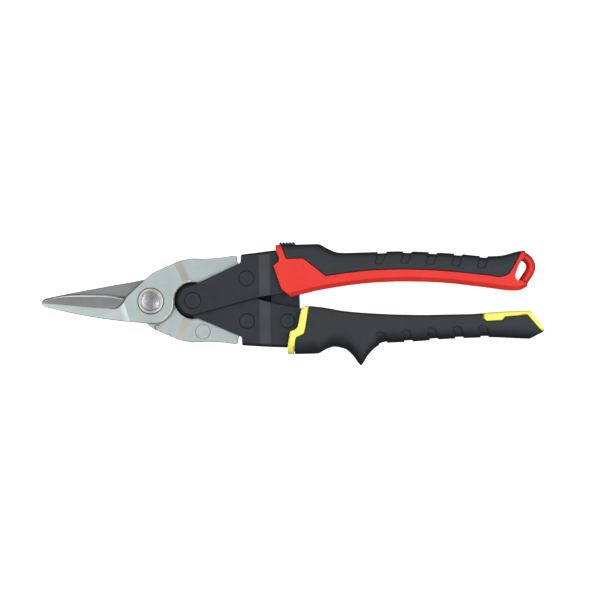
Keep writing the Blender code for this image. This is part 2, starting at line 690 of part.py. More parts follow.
def lower_grip_shape():
    top = curve([(62, -3.6), (80.1, -3.8), (86.5, -4.5), (98.6, -6.7), (113.7, -8.1), (125.9, -8.8),
                 (141.0, -9.2), (161.3, -9.1), (176.5, -8.2), (190.7, -7.8), (201, -7.7)])
    bottom = curve([(62, -28.0), (83.6, -27.9), (88.7, -25.5), (92.5, -24.5), (97.8, -25.7), (100.8, -28.1),
                    (103.2, -31.1), (105.0, -33.7), (105.8, -34.2), (106.8, -33.1), (108.8, -29.8),
                    (111.9, -26.3), (115.0, -24.1), (119.0, -23.0), (130.7, -22.6), (151.0, -21.4),
                    (171.2, -21.0), (184.4, -21.7), (201, -22.6)])
    girth = curve([(62, 8.6), (112.0, 8.8), (128.0, 7.0), (170.0, 6.4), (201.0, 6.4)])
    fin = curve([(94.0, 0.0), (101.0, 1.0), (105.8, 6.0), (110.0, 1.5), (117.0, 0.0)])
    return {
        "stations": between(65, 83, 3) + between(86, 100, 4) + between(101.6, 104.8, 2)
        + between(105.8, 113, 4) + between(116, 198.8, 12),
        "top": top,
        "bottom": bottom,
        "top_corner": lambda x: (1.8, 1.8),
        "bottom_corner": lambda x: (girth(x) - 1.2, girth(x) + 0.8 * fin(x)),
        "top_steps": 2,
        "bottom_steps": 3,
    }


UPPER_SLEEVE_REGION = [
    (63.4, 40), (63.4, 27.1), (63.5, 24.6), (65.2, 20.5), (64.7, 18.8), (62.2, 16.9), (66.1, 5.1),
    (70.7, 1.0), (72.0, -6.0), (190.2, -6.0), (190.2, 5.2), (189.6, 6.2), (186.8, 7.6), (185.3, 7.6), (184.1, 8.9),
    (184.0, 10.6), (185.8, 15.2), (187.0, 17.3), (188.8, 19.2), (189.4, 21.6), (189.4, 40)]

UPPER_COVER_REGION = [
    (66.3, 40), (66.6, 27.2), (68.8, 20.5), (77.4, 20.6), (88.6, 11.6), (98.9, 12.9), (111.0, 14.0),
    (121.2, 14.3), (136.3, 14.0), (149.0, 13.1), (159.1, 12.0), (169.2, 10.8), (178.3, 10.1), (180.3, 11.0),
    (183.4, 15.6), (187.1, 22.3), (188.5, 26.0), (188.5, 40)]

LOWER_SLEEVE_REGION = [
    (78.6, 6), (78.4, -3.8), (76.1, -5.2), (75.5, -6.7), (74.5, -11.7), (73.9, -14.3), (72.6, -15.5),
    (70.3, -16.3), (69.8, -17.7), (68.9, -23.3), (68.7, -27.3), (69.4, -28.6), (69.4, -45), (190.4, -45),
    (190.4, -22.3), (197.6, -18.6), (198.4, -17.5), (191.9, -8.4), (191.0, 6)]

LOWER_COVER_REGION = [
    (80.3, 6), (80.1, -4.0), (79.8, -5.8), (78.5, -13.6), (77.4, -17.6), (76.1, -18.4), (73.5, -19.5),
    (72.9, -21.3), (72.4, -27.7), (72.4, -45), (200.0, -45), (200.0, -19.6), (197.8, -18.6), (196.2, -17.9),
    (189.8, -10.1), (178.7, -10.8), (177.3, -12.6), (169.1, -12.9), (167.1, -11.1), (167.2, 6)]


def grip_blank(name, shape, region):
    """The whole grip, sleeve and cover together, inside its side outline."""
    return kept_inside(grip_solid(name, shape, 0.0), prism("region", region, -20, 20))


def skin(shape, region, depth):
    """The space of a cover that reaches a depth below the surface within a side outline."""
    space = prism("cover space", region, -20, 20)
    return cut_away(space, grip_solid("core", shape, depth))


def top_strip(half_width):
    """The stretch of the lower grip's inner edge where the cover leaves the sleeve bare."""
    return prism("strip", [(60, -14), (210, -14), (210, 4), (60, 4)], -half_width, half_width)


def pocket(outline, half_width):
    """The room for the handle's channel in a sleeve."""
    return prism("pocket", grown(outline, GAP), -half_width - GAP, half_width + GAP)


def grooves(shape, edge, inward, lean):
    """Shallow slanting grooves across both faces, wrapping over the outer edge of the grip.

    edge gives that outer edge, inward is the side of it where the grip lies, and lean is how far
    a groove's outer end stands ahead of its middle.
    """
    half = 0.5 * GROOVE_WIDTH
    bars = []
    for k in range(GROOVE_COUNT):
        x = GROOVE_START + GROOVE_PITCH * k
        outer = edge(x) - 2.0 * inward
        inner = edge(x) + GROOVE_REACH * inward
        outline = [(x + lean - half, outer), (x + lean + half, outer), (x - lean + half, inner),
                   (x - lean - half, inner)]
        bar = prism("groove", outline, -15, 15)
        bars.append(cut_away(bar, grip_solid("groove floor", shape, GROOVE_DEPTH)))
    return bars


def pad_slot():
    """The opening in the upper grip's outer edge where the thumb pad moves."""
    half = PAD_HALF_WIDTH + 0.4
    return prism("pad slot", [(60, 24), (77, 24), (77, 40), (60, 40)], -half, half)


def loop_bar():
    """The lanyard loop's rounded bar, from inside the top corner to inside the lower nose."""
    route = [(187.2, 20.2), (189.9, 18.9), (191.6, 17.1), (192.4, 14.8), (192.0, 12.4), (190.3, 9.6),
             (188.4, 6.6), (187.6, 4.6)]
    path = [(x, y, 0.0) for x, y in spline(route, 2)]
    return swept("loop bar", path, 4.7, 12.0, 10)


def make_upper_sleeve():
    shape = upper_grip_shape()
    piece = grip_blank("upper_grip_sleeve", shape, UPPER_SLEEVE_REGION)
    joined(piece, loop_bar())
    cut_away(piece, skin(shape, grown(UPPER_COVER_REGION, GAP), CORE_INSET))
    slot_outline = [(55, -6), (78, -6), (78, 8), (55, 8)]
    lever_slot = prism("lever slot", slot_outline, -SLOT_HALF_WIDTH, SLOT_HALF_WIDTH)
    channel_room = pocket(upper_channel_outline(), UPPER_OUTER + CHANNEL_JOGGLE)
    return cut_away(piece, channel_room, lever_slot, pad_slot())


def make_upper_cover():
    shape = upper_grip_shape()
    piece = kept_inside(grip_blank("upper_grip_cover", shape, UPPER_SLEEVE_REGION),
                        skin(shape, UPPER_COVER_REGION, COVER_THICKNESS))
    return cut_away(piece, pad_slot(), *grooves(shape, shape["top"], -1, 1.4))


def make_lower_sleeve():
    shape = lower_grip_shape()
    piece = grip_blank("lower_grip_sleeve", shape, LOWER_SLEEVE_REGION)
    bare = cut_away(skin(shape, grown(LOWER_COVER_REGION, GAP), CORE_INSET), top_strip(TOP_STRIP_HALF_WIDTH))
    slot_outline = [(60, -12), (81, -12), (81, 4), (60, 4)]
    lever_slot = prism("lever slot", slot_outline, -SLOT_HALF_WIDTH, SLOT_HALF_WIDTH)
    channel_room = pocket(lower_channel_outline(), LOWER_OUTER + CHANNEL_JOGGLE)
    return cut_away(piece, bare, channel_room, lever_slot)


def make_lower_cover():
    shape = lower_grip_shape()
    piece = kept_inside(grip_blank("lower_grip_cover", shape, LOWER_SLEEVE_REGION),
                        skin(shape, LOWER_COVER_REGION, COVER_THICKNESS))
    return cut_away(piece, top_strip(TOP_STRIP_HALF_WIDTH + GAP), *grooves(shape, shape["bottom"], 1, 1.2))


# --- assembly ---
def clear_scene():
    for leftover in list(bpy.data.objects):
        bpy.data.objects.remove(leftover, do_unlink=True)


def build():
    clear_scene()
    blade_steel = material("blade_steel", (0.42, 0.50, 0.50), 0.32, 1.0)
    polished = material("polished_steel", (0.72, 0.72, 0.76), 0.15, 1.0)
    zinc = material("zinc_plate", (0.55, 0.55, 0.53), 0.35, 1.0)
    black_steel = material("black_handle_steel", (0.034, 0.042, 0.048), 0.42, 0.6)
    spring_steel = material("spring_steel", (0.30, 0.30, 0.31), 0.3, 1.0)
    nylon = material("nylon", (0.75, 0.78, 0.80), 0.5, 0.0)
    red = material("red_plastic", (0.82, 0.055, 0.04), 0.4, 0.0)
    yellow = material("yellow_plastic", (0.93, 0.86, 0.10), 0.4, 0.0)
    rubber = material("black_overmould", (0.042, 0.052, 0.06), 0.6, 0.0)

    finish(make_lower_channel(), "lower_handle", black_steel)
    finish(make_lower_sleeve(), "lower_handle", yellow)
    finish(make_lower_cover(), "lower_handle", rubber)
    finish(make_lower_rivet(), "lower_handle", black_steel)
    finish(make_catch_pin(), "lower_handle", black_steel)
    finish(make_handle_rivet(), "lower_handle", black_steel)
    finish(make_handle_bush(), "lower_handle", zinc)
    finish(make_return_spring(), "lower_handle", spring_steel)

    finish(make_upper_channel(), "upper_handle", black_steel)
    finish(make_upper_sleeve(), "upper_handle", red)
    finish(make_upper_cover(), "upper_handle", rubber)
    finish(make_upper_rivet(), "upper_handle", black_steel)
    finish(tang_washer("upper_tang_washer_front", 1), "upper_handle", zinc)
    finish(tang_washer("upper_tang_washer_rear", -1), "upper_handle", zinc)
    finish(make_latch_pin(), "upper_handle", zinc)
    finish(latch_spacer("latch_spacer_front", 2.4, 5.5), "upper_handle", nylon)
    finish(latch_spacer("latch_spacer_rear", -5.5, -1.55), "upper_handle", nylon)
    finish(latch_spacer("latch_friction_washer", 1.55, 2.1), "upper_handle", spring_steel)

    finish(make_latch_lever(), "latch", black_steel)
    finish(make_latch_pad(), "latch", rubber)

    finish(make_lower_blade(), "lower_blade", blade_steel)
    finish(make_blade_stop_pin(), "lower_blade", blade_steel)
    finish(make_pivot_bolt(), "lower_blade", polished)
    finish(make_pivot_washer(), "lower_blade", zinc)
    finish(make_pivot_nut(), "lower_blade", zinc)
    finish(make_nut_insert(), "lower_blade", nylon)

    finish(make_upper_blade(), "upper_blade", blade_steel)


build()
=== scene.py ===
"""Compound-action aviation snips: the finished look of every piece, and a plain studio round them.

Shapes are drawn in tool space: millimetres, the blade bolt on the Z axis, +X towards the ends of
the grips, +Y towards the upper handle and +Z out of the front face, with the plane between the two
blades at Z = 0. place() carries each piece to the frame, in metres, and hands it to its body.
"""
from contextlib import contextmanager
import math
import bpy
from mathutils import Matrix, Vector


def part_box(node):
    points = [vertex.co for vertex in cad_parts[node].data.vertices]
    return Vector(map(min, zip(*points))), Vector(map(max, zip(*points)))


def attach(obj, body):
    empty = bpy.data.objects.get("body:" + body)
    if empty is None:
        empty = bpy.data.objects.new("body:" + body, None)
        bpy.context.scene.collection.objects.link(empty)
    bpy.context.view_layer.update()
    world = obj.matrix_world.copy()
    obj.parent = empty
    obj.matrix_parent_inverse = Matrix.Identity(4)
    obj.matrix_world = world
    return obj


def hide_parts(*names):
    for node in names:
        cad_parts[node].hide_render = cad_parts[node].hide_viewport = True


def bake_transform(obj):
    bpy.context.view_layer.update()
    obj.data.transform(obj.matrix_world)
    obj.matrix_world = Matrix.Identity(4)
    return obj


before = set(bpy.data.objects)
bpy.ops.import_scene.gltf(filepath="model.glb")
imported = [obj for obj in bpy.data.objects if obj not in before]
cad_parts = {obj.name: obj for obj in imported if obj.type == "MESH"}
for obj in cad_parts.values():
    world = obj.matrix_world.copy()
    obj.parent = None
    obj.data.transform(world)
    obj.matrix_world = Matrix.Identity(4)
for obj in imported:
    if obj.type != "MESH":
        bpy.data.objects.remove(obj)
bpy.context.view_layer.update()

from types import SimpleNamespace

import bmesh
import bpy
import numpy as np
from mathutils import Matrix, Vector

# --- driving dimensions, mm ---
MILLIMETRE = 0.001
GAP = 0.3  # between any two pieces
HALF_DEPTH = 10.5  # of the grips
PITCH = 0.8  # between the points of a drawn curve
COARSE_PITCH = 1.6
CREASE = math.radians(32)  # a sharper bend than this is an edge

# pivots in tool space
BOLT = (0, 0)
HANDLE_PIVOT = (21.3, 0)
UPPER_RIVET = (48.5, 10.8)
LOWER_RIVET = (48.5, -10.8)
CATCH_PIN = (69.1, -11.1)
STOP_PIN = (26.1, -15.8)
LATCH_PIVOT = (69.5, 12)
LATCH_SWING = math.radians(7)

# blades
BLADE_THICKNESS = 4.4
BLADE_LEVEL = 0.5 * GAP
BLADE_FACE = BLADE_LEVEL + BLADE_THICKNESS
BOSS_RADIUS = 11.6
NECK_RADIUS = 12.6
LIP_RADIUS = 8.4  # of the edge that reaches under the other handle's nose
NOSE_ROOM = 10.0
NOSE_FLOOR = 0.5 * BLADE_THICKNESS + 0.03  # a little above the tang's face
TANG_RADIUS = 7.2
NECK_RISE = 1.1
JOGGLE_NORMAL = Vector((0.912, 0.409, 0)).normalized()
JOGGLE_START = 18.3
JOGGLE_END = 23.1
TAPER_NORMAL = Vector((0.959, 0.284, 0)).normalized()
TAPER_START = -13.1
RUN_OUT = 3.6
RUN_OUT_SLOPE = 0.09
JAW_LENGTH = 41.0
TIP_THINNING = 0.42
GRIND_DEPTH = 2.65
EDGE_LAND = 1.0
EDGE_THICKNESS = 0.3
BLADE_EASE = 0.38

# handle channels: half width of the inner face of the plates, ahead of their joggle
PLATE = 1.8
LOWER_PLATE_INNER = 2.5
UPPER_PLATE_INNER = 4.6
LOWER_OUTER = LOWER_PLATE_INNER + PLATE
UPPER_OUTER = UPPER_PLATE_INNER + PLATE
CHANNEL_JOGGLE = 1.2
CHANNEL_JOGGLE_START = 54.7
CHANNEL_JOGGLE_END = 60.5
WEB_START = 45.9
WEB_BEND_RADIUS = 2.2
CHANNEL_END = 150.0
UPPER_NOSE_RADIUS = 7.4
LOWER_NOSE_RADIUS = 9.3
NOSE_ROUNDING = 1.5

# grips
COVER_THICKNESS = 1.1
CORE_INSET = COVER_THICKNESS + GAP
TOP_STRIP_HALF_WIDTH = 6.0
GROOVE_DEPTH = 0.75
GROOVE_WIDTH = 4.5
GROOVE_REACH = 6.2
GROOVE_COUNT = 5
GROOVE_START = 116.6
GROOVE_PITCH = 12.85

# fasteners
RIVET_SHANK = 2.6
RIVET_HEAD = 3.6
HANDLE_RIVET_HEAD = 3.95
CATCH_PIN_HEAD = 3.45
RIVET_HEAD_HEIGHT = 0.7
BOLT_SHANK = 3.6
BOLT_HEAD = 6.4
BOLT_HEAD_TOP = 6.3
BOLT_SINK = BOLT_HEAD + 0.35
BOLT_DOME = (4.5, 28)  # its rim and the radius of its curve
COUNTERBORE_FLOOR = 3.55
OPEN_PIVOT_CLEARANCE = 0.55
NUT_ACROSS_FLATS = 11.0
CATCH_PIN_SHANK = 2.2
SPRING_WIRE = 0.5
SPRING_COIL = 4.0
SPRING_TURNS = 2.5
SPRING_HALF_HEIGHT = 1.5
LATCH_HALF_THICKNESS = 1.25
NOSE_HALF_THICKNESS = 0.65
LATCH_NECK = 2.6
LATCH_PIN = 2.0
SLOT_HALF_WIDTH = 1.9
PAD_HALF_WIDTH = 4.0
PAD_LENGTH = 8.3
PAD_TEETH = 5
STOP_PIN_RADIUS = 3.6
STOP_PIN_HOLE = STOP_PIN_RADIUS + 0.22
ROUND_STEPS = 72

# --- studio, metres ---
CAMERA_TARGET = (73.66, 1.17)  # mm, tool space
VIEW_WIDTH = 0.30007
CAMERA_HEIGHT = 2.0
CAMERA_ROLL = math.radians(-0.9)
SENSOR = 36.0


def tool_origin():
    """Where tool space has its origin in the frame: on the bolt, halfway through the grips."""
    low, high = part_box("pivot_bolt")
    grip_low, grip_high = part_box("upper_grip_sleeve")
    return Vector((0.5 * (low.x + high.x), 0.5 * (low.y + high.y), 0.5 * (grip_low.z + grip_high.z)))


ORIGIN = tool_origin()


# --- curves and outlines ---
def between(start, end, steps):
    return [start + (end - start) * k / steps for k in range(steps + 1)]


def arc(centre, radius, start, end, steps=None):
    """Points on an arc, from one angle in degrees to another."""
    steps = steps or max(3, math.ceil(math.radians(abs(end - start)) * radius / PITCH))
    angles = [math.radians(a) for a in between(start, end, steps)]
    return [(centre[0] + radius * math.cos(a), centre[1] + radius * math.sin(a)) for a in angles]


def cubic(start, end, start_slope, end_slope, t):
    """A share t of the way along a cubic; the slopes are those over the whole span."""
    near = start * (1 + 2 * t) + start_slope * t
    far = end * (3 - 2 * t) - end_slope * (1 - t)
    return near * (1 - t) ** 2 + far * t**2


def curve(points):
    """A smooth function y(x) through points in order of x, flat at each local extreme."""
    xs, ys = (np.array(column, float) for column in zip(*points))
    rises = np.diff(ys) / np.diff(xs)
    slopes = np.array([rises[0], *np.zeros(len(xs) - 2), rises[-1]])
    for k, (before, after) in enumerate(zip(rises, rises[1:]), 1):
        if before * after > 0:
            slopes[k] = 2 * before * after / (before + after)

    def value(x):
        x = min(max(x, xs[0]), xs[-1])
        k = min(int(np.searchsorted(xs, x, side="right")) - 1, len(xs) - 2)
        span = xs[k + 1] - xs[k]
        return float(cubic(ys[k], ys[k + 1], slopes[k] * span, slopes[k + 1] * span, (x - xs[k]) / span))

    return value


def smooth_path(points, pitch=PITCH):
    """A smooth path through points of any dimension, with steady speed between unequal spans."""
    knots = [np.array(p, float) for p in points]
    spans = [float(np.linalg.norm(b - a)) for a, b in zip(knots, knots[1:])]
    slopes = [(b - a) / h for a, b, h in zip(knots, knots[1:], spans)]
    inner = [(s * after + e * before) / (before + after)
             for s, e, before, after in zip(slopes, slopes[1:], spans, spans[1:])]
    tangents = [slopes[0], *inner, slopes[-1]]
    path = []
    for k, h in enumerate(spans):
        ends = (knots[k], knots[k + 1], tangents[k] * h, tangents[k + 1] * h)
        path += [tuple(cubic(*ends, t)) for t in between(0, 1, max(1, math.ceil(h / pitch)))[:-1]]
    return [*path, tuple(knots[-1])]


def corners(outline):
    """Each point of a closed outline between its two neighbours."""
    points = [Vector(p) for p in outline]
    return list(zip(points[-1:] + points[:-1], points, points[1:] + points[:1]))


def rounded(outline, radius, steps=4):
    """A closed outline with each corner sharper than 12 degrees rounded off."""
    result = []
    for before, here, after in corners(outline):
        back = before - here
        on = after - here
        turn = math.pi - back.angle(on)
        if turn < math.radians(12):
            result.append(tuple(here))
            continue
        reach = min(radius * math.tan(0.5 * turn), 0.42 * back.length, 0.42 * on.length)
        start = here + back.normalized() * reach
        end = here + on.normalized() * reach
        for t in between(0, 1, steps):
            result.append(tuple(start * (1 - t) ** 2 + here * 2 * t * (1 - t) + end * t**2))
    return result


def grown(outline, distance):
    """A closed outline moved outwards by a distance, with mitred corners."""
    side = math.copysign(1, sum(a.x * b.y - b.x * a.y for _, a, b in corners(outline)))
    moved = []
    for before, here, after in corners(outline):
        first = (here - before).normalized()
        second = (after - here).normalized()
        normal = Vector((first.y + second.y, -first.x - second.x)) * side
        moved.append(tuple(here + normal * distance / max(1 + first.dot(second), 0.5)))
    return moved


def ramp(value):
    """A straight ramp from 0 to 1 whose two bends are slightly eased."""
    ease = 0.12
    value = min(max(value, 0), 1)
    near = min(value, 1 - value)
    rise = near * near / (2 * ease) if near < ease else near - 0.5 * ease
    rise /= 1 - ease
    return rise if value < 0.5 else 1 - rise


# --- solids ---
def from_bmesh(name, mesh_data):
    bmesh.ops.recalc_face_normals(mesh_data, faces=mesh_data.faces)
    mesh = bpy.data.meshes.new(name)
    mesh_data.to_mesh(mesh)
    mesh_data.free()
    piece = bpy.data.objects.new(name, mesh)
    bpy.context.scene.collection.objects.link(piece)
    return piece


def skinned(solid, rings):
    """Skins rings of equally many points and caps the two ends."""
    loops = [[solid.verts.new(point) for point in ring] for ring in rings]
    for near, far in zip(loops, loops[1:]):
        for k in range(len(near)):
            nxt = (k + 1) % len(near)
            solid.faces.new((near[k], near[nxt], far[nxt], far[k]))
    solid.faces.new(loops[0][::-1])
    solid.faces.new(loops[-1])


def loft(name, rings):
    solid = bmesh.new()
    skinned(solid, rings)
    return from_bmesh(name, solid)


def prisms(name, outlines, low, high):
    """Outlines extruded along Z, as one mesh."""
    solid = bmesh.new()
    for outline in outlines:
        skinned(solid, [[(x, y, z) for x, y in outline] for z in (low, high)])
    return from_bmesh(name, solid)


def prism(name, outline, low, high):
    return prisms(name, [outline], low, high)


def slab(name, outline, half):
    return prism(name, outline, -half, half)


def block(left, low, right, high, half):
    """A box that reaches half its height to either side of the middle plane."""
    return slab("block", [(left, low), (right, low), (right, high), (left, high)], half)


def turned(name, centre, profile, steps=ROUND_STEPS):
    """A solid of revolution from (radius, z) points; a closed profile makes a ring."""
    hollow = min(radius for radius, _ in profile) > 0
    solid = bmesh.new()
    rings = []
    for radius, z in profile:
        circle = arc(centre, radius, 0, 360, steps)[:-1] if radius > 0 else [centre]
        rings.append([solid.verts.new((x, y, z)) for x, y in circle])
    for near, far in zip(rings, rings[1:] + rings[:1] if hollow else rings[1:]):
        for k in range(steps):
            nxt = (k + 1) % steps
            face = [near[k % len(near)], near[nxt % len(near)], far[nxt % len(far)], far[k % len(far)]]
            solid.faces.new(list(dict.fromkeys(face)))
    return from_bmesh(name, solid)


def plug(centre, radius, low=-30.0, high=30.0, steps=ROUND_STEPS):
    """A plain round cutter."""
    return turned("plug", centre, [(0, low), (radius, low), (radius, high), (0, high)], steps)


def tube(name, centre, inner, outer, low, high, ease=0.15):
    """A plain ring with a small chamfer on its outer edges."""
    profile = [(inner, low), (outer - ease, low), (outer, low + ease), (outer, high - ease),
               (outer - ease, high), (inner, high)]
    return turned(name, centre, profile)


def swept(name, path, width, height, sides):
    """A rounded bar along a path of points; width lies in the XY plane."""
    rings = []
    for k, point in enumerate(path):
        ahead = np.array(path[min(k + 1, len(path) - 1)]) - np.array(path[max(k - 1, 0)])
        along = Vector(ahead).normalized()
        across = along.cross(Vector((0, 0, 1))).normalized()
        upright = across.cross(along)
        rings.append([Vector(point) + (across * x * 0.5 * width + upright * y * 0.5 * height)
                      for x, y in arc((0, 0), 1, 180 / sides, 360 + 180 / sides, sides)[:-1]])
    return loft(name, rings)


def combine(target, tool, operation):
    """Applies an exact Boolean with a second solid, which is used up."""
    cut = target.modifiers.new(operation.lower(), "BOOLEAN")
    cut.operation = operation
    cut.object = tool
    cut.material_mode = "TRANSFER"
    result = bpy.data.meshes.new_from_object(target.evaluated_get(bpy.context.evaluated_depsgraph_get()))
    target.modifiers.clear()
    target.data = result
    bpy.data.objects.remove(tool)
    return target


def cut_away(target, *tools):
    for tool in tools:
        combine(target, tool, "DIFFERENCE")
    return target


def joined(target, *tools):
    for tool in tools:
        combine(target, tool, "UNION")
    return target


def kept_inside(target, tool):
    return combine(target, tool, "INTERSECT")


def painted(piece, *paints):
    for paint in paints:
        piece.data.materials.append(paint)
    return piece


@contextmanager
def editing(piece):
    solid = bmesh.new()
    solid.from_mesh(piece.data)
    yield solid
    solid.to_mesh(piece.data)
    solid.free()


def slice_up(piece, normal, distances):
    """Adds edges where planes across the piece meet it, so that it can bend there."""
    with editing(piece) as solid:
        for distance in distances:
            everything = solid.verts[:] + solid.edges[:] + solid.faces[:]
            bmesh.ops.bisect_plane(solid, geom=everything, plane_co=normal * distance, plane_no=normal)


def weld(solid, flat, distance=0.04):
    """Closes the slivers that cutting leaves, and can join faces that lie in one plane."""
    bmesh.ops.remove_doubles(solid, verts=solid.verts, dist=distance)
    bmesh.ops.dissolve_degenerate(solid, edges=solid.edges, dist=0.5 * distance)
    if flat:
        bmesh.ops.dissolve_limit(solid, angle_limit=math.radians(0.1), verts=solid.verts, edges=solid.edges,
                                 delimit={"MATERIAL"})


def eased(piece, width, segments=2, crisp=(), flat=True):
    """Rounds the sharp edges of a piece by a width in mm, except those of crisp holes (centre, radius)."""
    piece.data.shade_smooth()
    with editing(piece) as solid:
        weld(solid, flat)
        solid.normal_update()
        weight = solid.edges.layers.float.new("bevel_weight_edge")
        for edge in solid.edges:
            sharp = edge.calc_face_angle(0) > CREASE
            kept = any(all((v.co.xy - Vector(centre)).length < radius + 0.05 for v in edge.verts)
                       for centre, radius in crisp)
            edge[weight] = float(sharp and not kept)
            edge.smooth = not (sharp and kept)
    bevel = piece.modifiers.new("eased edges", "BEVEL")
    bevel.width = width * MILLIMETRE
    bevel.segments = segments
    bevel.limit_method = "WEIGHT"
    bevel.use_clamp_overlap = False
    bevel.harden_normals = True
    bevel.miter_outer = "MITER_ARC"
    return piece


def place(piece, body, paint):
    """Moves a finished piece into the frame and puts it in the place of its CAD node."""
    node = piece.name.split(".")[0]
    piece.name = f"{node}_finished"
    piece.data.transform(Matrix.Translation(ORIGIN) @ Matrix.Scale(MILLIMETRE, 4))
    if not any(piece.data.materials):
        piece.data.materials.clear()
        piece.data.materials.append(paint)
    if not piece.modifiers:
        piece.data.shade_smooth()
        piece.data.set_sharp_from_angle(angle=CREASE)
    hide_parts(node)
    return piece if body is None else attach(piece, body)


# --- materials ---
class Paint:
    """A material whose colour, roughness and relief are made from nodes in object space, in metres."""

    def __init__(self, name, metallic=0.0, specular=0.5):
        self.material = bpy.data.materials.new(name)
        self.material.use_nodes = True
        self.tree = self.material.node_tree
        self.shader = self.tree.nodes["Principled BSDF"]
        self.shader.inputs["Metallic"].default_value = metallic
        self.shader.inputs["Specular IOR Level"].default_value = specular
        self.position = self.add("TexCoord").outputs["Object"]

    def add(self, kind, inputs=None, **settings):
        node = self.tree.nodes.new("ShaderNode" + kind)
        for key, value in settings.items():
            setattr(node, key, value)
        for key, value in (inputs or {}).items():
            self.put(node.inputs[key], value)
        return node

    def put(self, socket, value):
        if isinstance(value, bpy.types.NodeSocket):
            self.tree.links.new(value, socket)
        else:
            socket.default_value = value

    def stretched(self, stretch, turn=0.0):
        """Object space turned about Z and squeezed along each axis."""
        turned_space = self.add("Mapping", {0: self.position, 2: (0, 0, turn)}).outputs[0]
        return self.add("Mapping", {0: turned_space, 3: stretch}).outputs[0]

    def noise(self, size, detail=3.0, stretch=None, turn=0.0):
        """Noise with features of a size in mm, 0 to 1 about 0.5."""
        where = self.stretched(stretch, turn) if stretch else self.position
        inputs = {"Vector": where, "Scale": 1 / (size * MILLIMETRE), "Detail": detail}
        return self.add("TexNoise", inputs).outputs[0]

    def spread(self, value, low, high, to_low=0.0, to_high=1.0):
        """Maps a range of a value onto another range, clamped."""
        return self.add("MapRange", {0: value, 1: low, 2: high, 3: to_low, 4: to_high}).outputs[0]

    def calc(self, operation, a, b=0.0):
        return self.add("Math", {0: a, 1: b}, operation=operation).outputs[0]

    def mixed(self, factor, a, b):
        a, b = ((*c, 1) if isinstance(c, tuple) else c for c in (a, b))
        return self.add("Mix", {0: factor, 6: a, 7: b}, data_type="RGBA").outputs[2]

    def edges(self, radius, low=0.02, high=0.25):
        """0 on a face and 1 on a convex or concave edge within a radius in mm."""
        eased_normal = self.add("Bevel", {0: radius * MILLIMETRE}, samples=4).outputs[0]
        true_normal = self.add("NewGeometry").outputs["Normal"]
        same = self.add("VectorMath", {0: eased_normal, 1: true_normal}, operation="DOT_PRODUCT")
        return self.spread(self.calc("SUBTRACT", 1, same.outputs["Value"]), low, high)

    def shade_openness(self, reach):
        """1 in the open and 0 in corners that are walled in within a reach in mm; colours scaled by it carry
        painted shade.
        """
        node = self.add("AmbientOcclusion", {"Distance": reach * MILLIMETRE}, samples=8)
        return self.spread(node.outputs["AO"], 0.35, 0.95)

    def scaled(self, colour, share):
        return self.add("VectorMath", {0: colour, "Scale": share}, operation="SCALE").outputs[0]

    def walls(self, low=0.6, high=0.88):
        """1 where the surface stands upright and 0 where it lies flat."""
        normal = self.add("NewGeometry").outputs["Normal"]
        upright = self.add("SeparateXYZ", {0: normal}).outputs["Z"]
        return self.spread(self.calc("ABSOLUTE", upright), low, high, 1, 0)

    def distance_from(self, axis):
        """How far the surface lies from an upright axis in tool space, in mm."""
        offset = tuple(-ORIGIN.xy - Vector(axis) * MILLIMETRE)
        across = self.add("Mapping", {0: self.position, 1: (*offset, 0), 3: (1, 1, 0)})
        length = self.add("VectorMath", {0: across.outputs[0]}, operation="LENGTH").outputs["Value"]
        return self.calc("DIVIDE", length, MILLIMETRE)

    def neck_rim_highlight(self):
        """1 on the eased edges of a blade's boss and of its hollow for the handle's nose, where a cream
        highlight is painted.
        """
        from_bolt = self.distance_from(BOLT)
        ring = self.calc("MULTIPLY", self.spread(from_bolt, 8, 8.4), self.spread(from_bolt, 13.2, 13.6, 1, 0))
        along = self.add("SeparateXYZ", {0: self.position}).outputs["X"]
        boss = self.calc("MULTIPLY", ring, self.spread(along, ORIGIN.x + 0.002, ORIGIN.x + 0.005))
        hollow = self.spread(self.distance_from(HANDLE_PIVOT), 10.5, 10.8, 1, 0)
        slope = self.calc("SUBTRACT", self.walls(0.94, 0.995), self.walls(0.1, 0.3))
        return self.calc("MULTIPLY", self.calc("MAXIMUM", boss, hollow), slope)

    def relief(self, height, depth, below=None):
        """A bump of a depth in mm from a height of 0 to 1, on top of another bump."""
        under = {"Normal": below} if below else {}
        inputs = {"Height": height, "Distance": depth * MILLIMETRE, **under}
        return self.add("Bump", inputs).outputs[0]

    def finish(self, colour, roughness, normal):
        for name, value in (("Base Color", colour), ("Roughness", roughness), ("Normal", normal)):
            self.put(self.shader.inputs[name], value)
        return self.material


def shades(colour, spread):
    """A colour's lighter and darker neighbours."""
    return tuple(c * (1 - spread) for c in colour), tuple(min(c * (1 + spread), 1) for c in colour)


